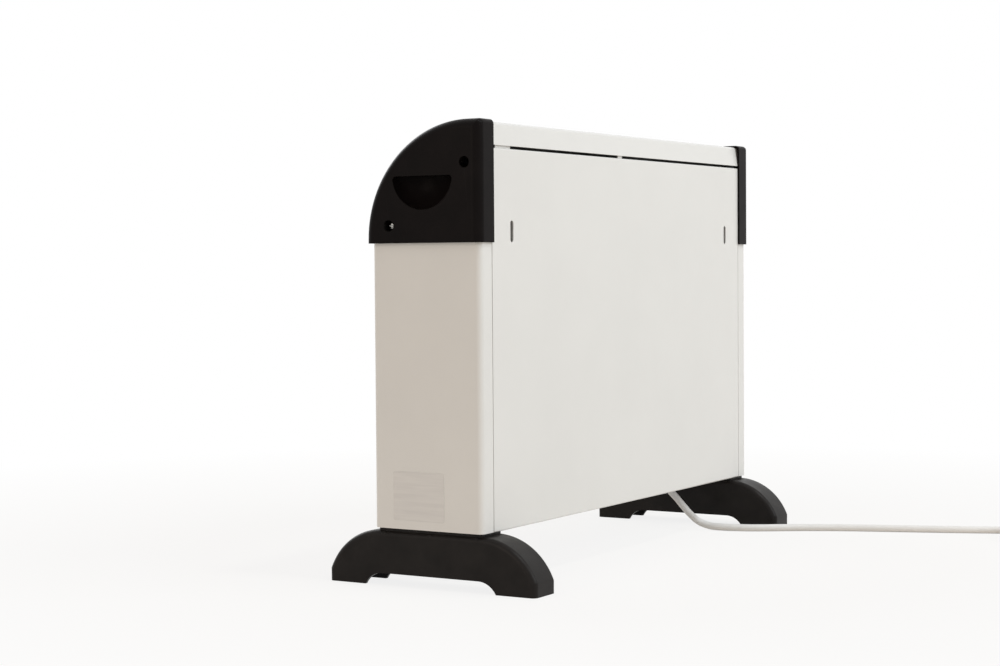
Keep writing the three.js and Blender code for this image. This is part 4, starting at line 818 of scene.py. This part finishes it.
def filleted(profile, inner_x, outer_x, fillet, inset, bottom, steps):
    """Rings of a profile along x, drawn in round a fillet at the outer end."""
    rings = [[(inner_x, y, z) for y, z in profile(inset, bottom)]]
    for i in range(steps + 1):
        angle = math.radians(90 * i / steps)
        x = outer_x - fillet + fillet * math.sin(angle)
        drawn_in = inset + fillet * (1 - math.cos(angle))
        rings.append([(x, y, z) for y, z in profile(drawn_in, bottom)])
    return rings


GRIP_Y, GRIP_LIP_Z, GRIP_RADIUS, GRIP_DEPTH = 0.2, 340.4, 29.3, 20.0
GRIP_AXIS_Z = GRIP_LIP_Z + 1.4
GRIP_CORNER = 3.2
GRIP_WALL = 2.0


def grip_bowl(wall):
    """The bowl of the handle recess below its lip, with rounded ends to its mouth."""
    profile = [(math.sin(math.radians(a)) * (GRIP_RADIUS + wall),
                CAP_OUTER_X - math.cos(math.radians(a)) * (GRIP_DEPTH + wall))
               for a in [0.5] + [90 * i / 16 for i in range(1, 17)]]
    bowl = lathe("x", profile + [(GRIP_RADIUS + wall, CAP_OUTER_X + 2)], GRIP_Y, GRIP_AXIS_Z, 96)
    reach = GRIP_RADIUS + wall
    corner_z = GRIP_LIP_Z + wall - GRIP_CORNER
    below_axis = GRIP_AXIS_Z - corner_z
    lift = math.degrees(math.asin(below_axis / (reach - GRIP_CORNER)))
    half = math.sqrt((reach - GRIP_CORNER) ** 2 - below_axis ** 2)
    outline = (arc(GRIP_Y + half, corner_z, GRIP_CORNER, 90, -lift, 8)
               + arc(GRIP_Y, GRIP_AXIS_Z, reach, -lift, -180 + lift, 48)[1:-1]
               + arc(GRIP_Y - half, corner_z, GRIP_CORNER, 180 + lift, 90, 8))
    return common(bowl, prism("x", outline, CAP_OUTER_X - 40, CAP_OUTER_X + 1.5))


CAP_SCREWS = (("upper", 40.9, 350.4, 20.0), ("lower", -32.9, 299.9, 8.0))  # name, y, z, depth of the seat
CAP_FILLET, CAP_WALL = 8, 2.5
CAVITY_FILLET = 5.5
BOSS_RADIUS, BOSS_INNER_X = 6.7, 239.3
WELL_RADIUS, BORE_RADIUS = 4.7, 1.9


def end_cap():
    """The right cap: a shell with screw bosses, screw wells and the handle recess."""
    outer = loft(filleted(cap_profile, CAP_INNER_X, CAP_OUTER_X, CAP_FILLET, 0, CAP_BOTTOM, 10))
    cavity = loft(filleted(body_profile, CAP_INNER_X - 1, CAP_OUTER_X - CAP_WALL, CAVITY_FILLET, -GAP,
                           CAP_BOTTOM + CAP_WALL, 5))
    bosses = [rod("x", BOSS_RADIUS, BOSS_INNER_X, CAP_OUTER_X - 1, y, z) for _, y, z, _ in CAP_SCREWS]
    bowl_wall = common(grip_bowl(GRIP_WALL), box(240, CAP_OUTER_X - 0.5, -60, 60, 280, 390))
    shell = add(cut(outer, cavity), *bosses, bowl_wall)
    cutters = [box(CAP_INNER_X - 1, BODY_HALF + GAP, FRONT_Y - GAP, BACK_Y + GAP, CAP_BOTTOM - 1,
                   BODY_SEAM + GAP),
               grip_bowl(0)]
    for _, y, z, sink in CAP_SCREWS:
        cutters += [rod("x", WELL_RADIUS, CAP_OUTER_X - sink, CAP_OUTER_X + 1, y, z),
                    rod("x", BORE_RADIUS, 238, CAP_OUTER_X, y, z, 24)]
    shape = cut(shell, *cutters)

    def at_face(p):
        return p.x > CAP_OUTER_X - 0.05

    def at_grip(p):
        return at_face(p) and math.hypot(p.y - GRIP_Y, p.z - GRIP_AXIS_Z) < GRIP_RADIUS + 1

    soften(shape, 1.1, 4, 25, at_grip)
    return soften(shape, 0.3, 2, 45, lambda p: at_face(p) or p.z < CAP_BOTTOM + 0.05)


def cap_screw(y, z, sink):
    seat = CAP_OUTER_X - sink + GAP
    head = lathe("x", [(3.6, seat), (3.6, seat + 0.8), (3.45, seat + 1.3), (3.0, seat + 1.9),
                       (2.2, seat + 2.3), (1.2, seat + 2.4)], y, z, 40)
    shank = rod("x", 1.6, 232, seat + 0.5, y, z, 24)
    cross = [block(seat + 1.2, seat + 4, y, z, a, b) for a, b in ((2.0, 0.45), (0.45, 2.0))]
    return soften(cut(add(head, shank), *cross), 0.12, 2, 40, lambda p: p.x > seat + 1.5)


FOOT_INNER_X, FOOT_OUTER_X = 224.5, 258.5
FOOT_TOP, FOOT_REACH, FOOT_RADIUS, FOOT_EDGE = 46.0, 101.0, 56.0, 11.0
FOOT_ARC_Z = FOOT_TOP - FOOT_RADIUS
FOOT_ARC_Y = FOOT_REACH - math.sqrt(FOOT_RADIUS ** 2 - (FOOT_EDGE - FOOT_ARC_Z) ** 2)
FOOT_FILLET, FOOT_WALL = 5, 3
FOOT_NECK_HALF, FOOT_NECK_STEP_Y = 50.5, 39.6
FOOT_RIB_YS, FOOT_RIB_HALF = (-45, 0, 45), 1.5
ARCH_CORNER, ARCH_HALF, ARCH_HEIGHT, ARCH_START_Z = 19.0, 64.0, 10.0, -5


def hump(y, z, radius, rise, steps):
    """Arcs about (-y, z) and (y, z), whose ends rise by a share of the radius."""
    start = math.degrees(math.asin(rise))
    return arc(-y, z, radius, 180 - start, 90, steps) + arc(y, z, radius, 90, start, steps)


def foot_profile(inset, bottom):
    reach, rise = FOOT_REACH - inset, (FOOT_EDGE - FOOT_ARC_Z) / FOOT_RADIUS
    return [(-reach, bottom), *hump(FOOT_ARC_Y, FOOT_ARC_Z, FOOT_RADIUS - inset, rise, 28),
            (reach, bottom)]


def foot():
    """The right foot: a hollow arched moulding with a neck, ribs and screw holes."""
    centre = (FOOT_INNER_X + FOOT_OUTER_X) / 2
    half = filleted(foot_profile, centre, FOOT_OUTER_X, FOOT_FILLET, 0, -10, 8)
    other = [[(2 * centre - x, y, z) for x, y, z in ring] for ring in reversed(half[1:])]
    hollow = prism("x", foot_profile(FOOT_WALL, -11), FOOT_INNER_X + FOOT_WALL, FOOT_OUTER_X - FOOT_WALL)
    neck = [box(FOOT_INNER_X + FOOT_WALL, FOOT_OUTER_X - FOOT_WALL, y0, y1, 44, z1)
            for y0, y1, z1 in ((-FOOT_NECK_HALF, FOOT_NECK_STEP_Y + 1, 48.2),
                               (FOOT_NECK_STEP_Y, FOOT_NECK_HALF, 47.7))]
    ribs = [box(FOOT_INNER_X + 1, FOOT_OUTER_X - 1, y - FOOT_RIB_HALF, y + FOOT_RIB_HALF, 5, FOOT_TOP - 1)
            for y in FOOT_RIB_YS]
    below = box(FOOT_INNER_X - 5, FOOT_OUTER_X + 5, -200, 200, -20, 0)
    arch_z = ARCH_HEIGHT - ARCH_CORNER
    arch_y = ARCH_HALF - math.sqrt(ARCH_CORNER ** 2 - arch_z ** 2)
    arch = prism("x", hump(arch_y, arch_z, ARCH_CORNER, (ARCH_START_Z - arch_z) / ARCH_CORNER, 14),
                 FOOT_INNER_X - 5, FOOT_OUTER_X + 5)
    holes = [rod("z", FOOT_HOLE_RADIUS, 0, 49, FOOT_SCREW_X, side * FOOT_SCREW_Y, 24)
             for side in (1, -1)]
    shell = add(cut(loft(other + half), hollow), *ribs, *neck)
    shape = cut(shell, below, arch, *holes)

    def at_lower_edge(p):
        return p.z < FOOT_EDGE and (p.x > FOOT_OUTER_X - 0.1 or p.x < FOOT_INNER_X + 0.1)

    return soften(shape, 0.45, 3, 35, at_lower_edge)


def foot_screw(side):
    seat, x, y = FOOT_TOP - FOOT_WALL - GAP, FOOT_SCREW_X, side * FOOT_SCREW_Y
    head = lathe("z", [(1.6, seat - 2.6), (3.0, seat - 2.4), (3.9, seat - 1.7), (4.2, seat - 1.0),
                       (4.2, seat)], x, y, 40)
    shank = rod("z", 2.0, seat - 0.5, 56.6, x, y, 24)
    cross = [box(x - a, x + a, y - b, y + b, seat - 4, seat - 1.4)
             for a, b in ((2.2, 0.5), (0.5, 2.2))]
    return cut(add(head, shank), *cross)


def on_side(side, shape):
    return shape if side > 0 else mirrored(shape)


cap_shape, foot_shape = end_cap(), foot()
for side, name in ((1, "right"), (-1, "left")):
    piece(f"cap_{name}", on_side(side, cap_shape.copy()), black_plastic,
          [f"{name}_end_cap"])
    piece(f"foot_moulding_{name}", on_side(side, foot_shape.copy()), foot_black_painted_lighter,
          [f"{name}_foot"])
    for label, y, z, sink in CAP_SCREWS:
        piece(f"cap_screw_{label}_{name}", on_side(side, cap_screw(y, z, sink)), screw_metal,
              [f"{name}_cap_screw_{label}"])
    for end, label in ((-1, "front"), (1, "rear")):
        piece(f"foot_screw_{label}_{name}", on_side(side, foot_screw(end)), screw_metal,
              [f"{name}_foot_screw_{label}"])

# -------- controls

FASCIA_HALF, FASCIA_CORNER, FASCIA_THICKNESS = 36, 8, 2


def fascia_plate():
    plate = prism("x", rounded(-FASCIA_HALF, FASCIA_HALF, FASCIA_BOTTOM, FASCIA_TOP, FASCIA_CORNER, 12),
                  FASCIA_X, FASCIA_X + FASCIA_THICKNESS)

    def at_rim(p):
        inside = abs(p.y) < 30 and FASCIA_BOTTOM + 1 < p.z < FASCIA_TOP - 1
        return p.x < FASCIA_X + 0.05 and not inside

    holes = control_holes(FASCIA_X - 1, FASCIA_X + FASCIA_THICKNESS + 1)
    return soften(cut(plate, *holes), 0.7, 4, 45, at_rim)


piece("fascia_plate", fascia_plate(), black_plastic, ["control_fascia"])

KNOB_INNER_X, KNOB_OUTER_X = FASCIA_X - 0.5, FASCIA_X - 17.5
KNOB_SCALLOPS, KNOB_SCALLOP_DEPTH = 10, 1.15
KNOB_BORE_RADIUS, KNOB_BORE_DEPTH = 3.3, 11
DIAL_START, DIAL_SWEEP = -135.0, 270  # degrees


def knob():
    """The turned knob with scalloped sides; the bore takes the thermostat's shaft."""
    inner, outer = KNOB_INNER_X, KNOB_OUTER_X
    skirt = [(radius, inner - x) for radius, x in (
        (18.6, 0), (19.0, 0.5), (19.0, 3.6), (18.7, 4.0), (16.9, 5.0), (16.5, 5.6), (16.4, 7.5),
        (16.3, 10), (16.1, 13))]
    crown = [(radius, outer + x) for radius, x in (
        (15.95, 1.8), (15.7, 1.0), (15.2, 0.4), (14.4, 0), (12.6, 0), (12.2, 0.35), (6.0, 0.5),
        (0.5, 0.5))]

    def scalloped(radius, x, angle):
        if x > inner - 5.5 or radius < 15:
            return radius
        wave = (angle * KNOB_SCALLOPS / (2 * math.pi)) % 1.0
        bite = max(0.0, 1.0 - ((wave - 0.5) / 0.22) ** 2)
        fade = min(1.0, (inner - 5.5 - x) / 2.5)
        return radius - KNOB_SCALLOP_DEPTH * bite * fade

    body = lathe("x", skirt + crown, 0, DIAL_Z, 160, scalloped)
    return cut(body, rod("x", KNOB_BORE_RADIUS, inner - KNOB_BORE_DEPTH, inner + 1, 0, DIAL_Z))


def knob_pointer():
    bar = prism("x", rounded(-1.2, 1.2, 3, 14, 1.1, 6), KNOB_OUTER_X - 0.8, KNOB_OUTER_X + 0.8)
    return turned(soften(bar, 0.25, 2, 45), "X", math.radians(DIAL_START), (0, 0, DIAL_Z))


piece("knob_moulding", knob(), black_plastic, ["thermostat_knob"], "thermostat_dial")
piece("knob_pointer", knob_pointer(), mark_white, (), "thermostat_dial")


def printed(text, size, matrix, depth=0.12):
    """Flat raised characters: digits on the dial or I and O on a rocker."""
    font = bpy.data.curves.new("print", "FONT")
    font.body, font.size, font.extrude = text, size, depth
    font.align_x, font.align_y = "CENTER", "CENTER"
    font.resolution_u = 3
    source = in_scene("print", font)
    mesh = evaluated_mesh(source)
    bpy.data.objects.remove(source)
    shape = as_shape(mesh)
    bmesh.ops.remove_doubles(shape, verts=shape.verts, dist=1e-4)
    shape.transform(matrix)
    return shape


FACING_OUT = Matrix(((0, 0, -1, 0), (-1, 0, 0, 0), (0, 1, 0, 0), (0, 0, 0, 1)))
TICKS, TICKS_PER_DIGIT = 24, 4
TICK_START = 21.0
SHORT_TICK, LONG_TICK = (0.2, 22.8), (0.35, 24.4)  # half width and outer end
DIGIT_RADIUS, DIGIT_SIZE = 27.6, 4.6


def dial_marks():
    """Ticks round the knob and the digits 0 to 6, clockwise from the lower left."""
    marks = []
    for i in range(TICKS + 1):
        angle = math.radians(DIAL_START + DIAL_SWEEP * i / TICKS)
        half, end = SHORT_TICK if i % TICKS_PER_DIGIT else LONG_TICK
        tick = box(-0.05, 0.12, -half, half, TICK_START, end)
        marks.append(turned(tick, "X", angle, (FASCIA_X - 0.12, 0, DIAL_Z)))
    digits = TICKS // TICKS_PER_DIGIT
    for digit in range(digits + 1):
        angle = math.radians(DIAL_START + DIAL_SWEEP * digit / digits)
        y, z = -DIGIT_RADIUS * math.sin(angle), DIAL_Z + DIGIT_RADIUS * math.cos(angle)
        marks.append(printed(str(digit), DIGIT_SIZE, Matrix.Translation((FASCIA_X, y, z)) @ FACING_OUT))
    return merged(*marks)


piece("dial_marks", dial_marks(), mark_white)

BEZEL_HALF_Y, BEZEL_HALF_Z, BEZEL_CORNER = 7.5, 10.5, 1.5
BEZEL_X, SWITCH_BACK_X = FASCIA_X - 2.3, FASCIA_X + 18.7
ROCKER_PIVOT_X = FASCIA_X - 0.8
ROCKER_TILT = 9.0
ROCKER_HALF_WIDTH, ROCKER_HALF_LENGTH = 5.0, 7.8
ROCKER_FACE, ROCKER_DISH, ROCKER_POWER = 2.0, 1.6, 1.15
SIGN_Z, SIGN_SIZE = 4.6, 3.4


def switch_frame(y):
    """The switch's bezel, case, rocker well and blade terminals."""
    outline = rounded(y - BEZEL_HALF_Y, y + BEZEL_HALF_Y, SWITCH_Z - BEZEL_HALF_Z,
                      SWITCH_Z + BEZEL_HALF_Z, BEZEL_CORNER, 5)
    bezel = soften(prism("x", outline, BEZEL_X, FASCIA_X - GAP), 0.4, 3, 45,
                   lambda p: p.x < BEZEL_X + 0.05)
    case = block(FASCIA_X - 1.3, SWITCH_BACK_X, y, SWITCH_Z, SWITCH_HALF_Y - GAP,
                 SWITCH_HALF_Z - GAP)
    well = block(BEZEL_X - 1, BEZEL_X + 7.5, y, SWITCH_Z, 5.3, 8.6)
    pivot = rod("y", 1.2, y - 5.9, y + 5.9, ROCKER_PIVOT_X, SWITCH_Z, 20)
    blades = [block(SWITCH_BACK_X - 1, SWITCH_BACK_X + 8, y, SWITCH_Z + rise, 2.4, 0.4)
              for rise in (-6, 0, 6)]
    return cut(add(bezel, case, *blades), well, pivot)


def rocker_face(z):
    """The height of the rocker's dished face at a distance along it."""
    return ROCKER_FACE + ROCKER_DISH * abs(z / ROCKER_HALF_LENGTH) ** ROCKER_POWER


def rocker_place(y):
    return (Matrix.Translation((ROCKER_PIVOT_X, y, SWITCH_Z))
            @ Matrix.Rotation(math.radians(180 - ROCKER_TILT), 4, "Y"))


def rocker(y):
    """The rocker's paddle with a dished face and pivot pins, tilted to its rest place."""
    half = ROCKER_HALF_LENGTH
    face = [(-1.5, -half), (3.0, -half)]
    for i in range(13):
        z = -7.5 + 15.0 * i / 12
        face.append((rocker_face(z), z))
    face += [(3.0, half), (-1.5, half), (-4, 1.5), (-4, -1.5)]
    paddle = soften(prism("y", face, -ROCKER_HALF_WIDTH, ROCKER_HALF_WIDTH), 0.3, 3, 40)
    shape = add(paddle, rod("y", 0.9, -5.6, 5.6, 0, 0, 20))
    shape.transform(rocker_place(y))
    return shape


def rocker_signs(y):
    """I and O, flat on the two ends of the rocker's face."""
    facing_up = Matrix(((0, 0, 1, 0), (-1, 0, 0, 0), (0, -1, 0, 0), (0, 0, 0, 1)))
    lean = math.atan(ROCKER_DISH * ROCKER_POWER / ROCKER_HALF_LENGTH)
    signs = []
    for text, side in (("I", 1), ("O", -1)):
        spot = (Matrix.Translation((rocker_face(SIGN_Z), 0, -side * SIGN_Z))
                @ Matrix.Rotation(-side * lean, 4, "Y"))
        signs.append(printed(text, SIGN_SIZE, rocker_place(y) @ spot @ facing_up, 0.06))
    return merged(*signs)


for number, y in enumerate(SWITCH_YS, 1):
    body = f"rocker_{number}"
    piece(f"switch_frame_{number}", switch_frame(y), gloss_black,
          [f"switch_{number}_body"])
    piece(f"rocker_paddle_{number}", rocker(y), red_plastic,
          [f"switch_{number}_rocker"], body)
    piece(f"rocker_marks_{number}", rocker_signs(y), mark_white, (), body)

# -------- CAD nodes that stay

KEPT = {
    white_paint: ["hanger_bracket_right", "hanger_bracket_left"],
    zinc: ["bottom_grille", "right_end_plate", "left_end_plate", "control_partition",
           "element_bracket_left", "element_bracket_right", "thermostat_mount"],
    # The rear heat shield is painted dark to stand for the shade in the gap under the grille's flange.
    gap_shade_black: ["rear_heat_shield"],
    mica: ["mica_board_low_power", "mica_board_high_power"],
    hot_ribbon: ["heating_ribbon_low_power", "heating_ribbon_high_power"],
    ceramic: ["ceramic_block_low_power_left", "ceramic_block_low_power_right",
              "ceramic_block_high_power_left", "ceramic_block_high_power_right", "thermal_cutout",
              "thermostat_body", "terminal_block"],
    brass: ["thermostat_shaft", "thermostat_bimetal"],
    brown_lead: ["lead_live_to_thermostat", "lead_thermostat_to_switches"],
    blue_lead: ["lead_neutral_to_cutout"],
    pale_lead: ["lead_switch_1_to_element", "lead_switch_2_to_element"],
    earth_lead: ["lead_earth"],
    white_vinyl: ["supply_lead"],
}
for material, names in KEPT.items():
    for name in names:
        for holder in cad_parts[name].material_slots:
            holder.material = material

# -------- floor, backdrop and light

WHITE = (1.0, 1.0, 1.0, 1.0)
FLOOR_TINT = (0.75, 0.70, 0.64, 1.0)
FLOOR_RADIUS = 12.0
GLOW_NEAR, GLOW_FAR = 0.35, 1.1  # metres from the middle of the floor
GLOW_LEAST = 0.84
ROOM_TINT = (1.0, 0.93, 0.86, 1.0)
ROOM_LIGHT = 0.42


def linked(tree, kind, *sources, **values):
    """A new node with its first inputs linked or set, and its properties set."""
    node = tree.nodes.new(kind)
    for name, value in values.items():
        setattr(node, name, value)
    for socket, source in zip(node.inputs, sources):
        if isinstance(source, bpy.types.NodeSocket):
            tree.links.new(source, socket)
        else:
            socket.default_value = source
    return node


def seen_rays(tree, *kinds):
    """1 for the kinds of ray that see plain white, 0 for those that light the object."""
    rays = tree.nodes.new("ShaderNodeLightPath").outputs
    share = rays[kinds[0]]
    for kind in kinds[1:]:
        share = linked(tree, "ShaderNodeMath", share, rays[kind], operation="MAXIMUM").outputs[0]
    return share


def white_ground():
    """White floor that keeps the object's shadow."""
    material = bpy.data.materials.new("ground")
    material.use_nodes = True
    tree = material.node_tree
    shader = tree.nodes["Principled BSDF"]
    shader.inputs["Base Color"].default_value = FLOOR_TINT
    shader.inputs["Roughness"].default_value = 0.9
    shader.inputs["Specular IOR Level"].default_value = 0.0
    where = tree.nodes.new("ShaderNodeTexCoord").outputs["Object"]
    away = linked(tree, "ShaderNodeVectorMath", where, operation="LENGTH").outputs["Value"]
    share = linked(tree, "ShaderNodeMapRange", away, GLOW_NEAR, GLOW_FAR, GLOW_LEAST, 1.0).outputs["Result"]
    seen = seen_rays(tree, "Is Camera Ray", "Is Glossy Ray")
    part = linked(tree, "ShaderNodeMath", seen, share, operation="MULTIPLY").outputs[0]
    glow = linked(tree, "ShaderNodeEmission", WHITE, 1.0).outputs[0]
    mix = linked(tree, "ShaderNodeMixShader", part, shader.outputs[0], glow)
    tree.links.new(mix.outputs[0], tree.nodes["Material Output"].inputs["Surface"])
    return material


floor_shape = bmesh.new()
bmesh.ops.create_circle(floor_shape, cap_ends=True, radius=FLOOR_RADIUS, segments=96)
floor_mesh = as_mesh(floor_shape, "floor")
floor_mesh.materials.append(white_ground())
floor = in_scene("floor", floor_mesh)

world = bpy.data.worlds.new("studio")
bpy.context.scene.world = world
world.use_nodes = True
room_tree = world.node_tree
room = room_tree.nodes["Background"]
room.inputs["Color"].default_value = ROOM_TINT
room.inputs["Strength"].default_value = ROOM_LIGHT
backdrop = linked(room_tree, "ShaderNodeBackground", WHITE, 1.0)
seen = seen_rays(room_tree, "Is Camera Ray", "Is Glossy Ray", "Is Transmission Ray")
room_mix = linked(room_tree, "ShaderNodeMixShader", seen, room.outputs[0], backdrop.outputs[0])
room_tree.links.new(room_mix.outputs[0], room_tree.nodes["World Output"].inputs["Surface"])

LAMP_TARGET = (0, 0, 0.2)


def softbox(name, location, size, power, color):
    """A rectangular lamp, in metres and watts, that faces the heater."""
    light = bpy.data.lights.new(name, "AREA")
    light.shape = "RECTANGLE"
    light.size, light.size_y = size
    light.energy = power
    light.color = color
    lamp = in_scene(name, light)
    lamp.location = location
    lamp.rotation_mode = "QUATERNION"
    lamp.rotation_quaternion = (Vector(LAMP_TARGET) - Vector(location)).to_track_quat("-Z", "Y")


softbox("key", (-0.6, 3.2, 2.2), (2.4, 1.8), 56, (0.90, 0.97, 1.0))
softbox("above", (0.3, 1.6, 3.4), (0.35, 0.35), 30, (0.93, 0.97, 1.0))
softbox("side", (3.4, -0.9, 1.3), (1.4, 1.6), 18, (1.0, 0.86, 0.72))
softbox("front", (-1.2, -3.2, 2.0), (2.2, 1.6), 34, (0.97, 0.98, 1.0))

bpy.context.scene.view_settings.view_transform = "Standard"

# -------- the end

bpy.context.view_layer.update()
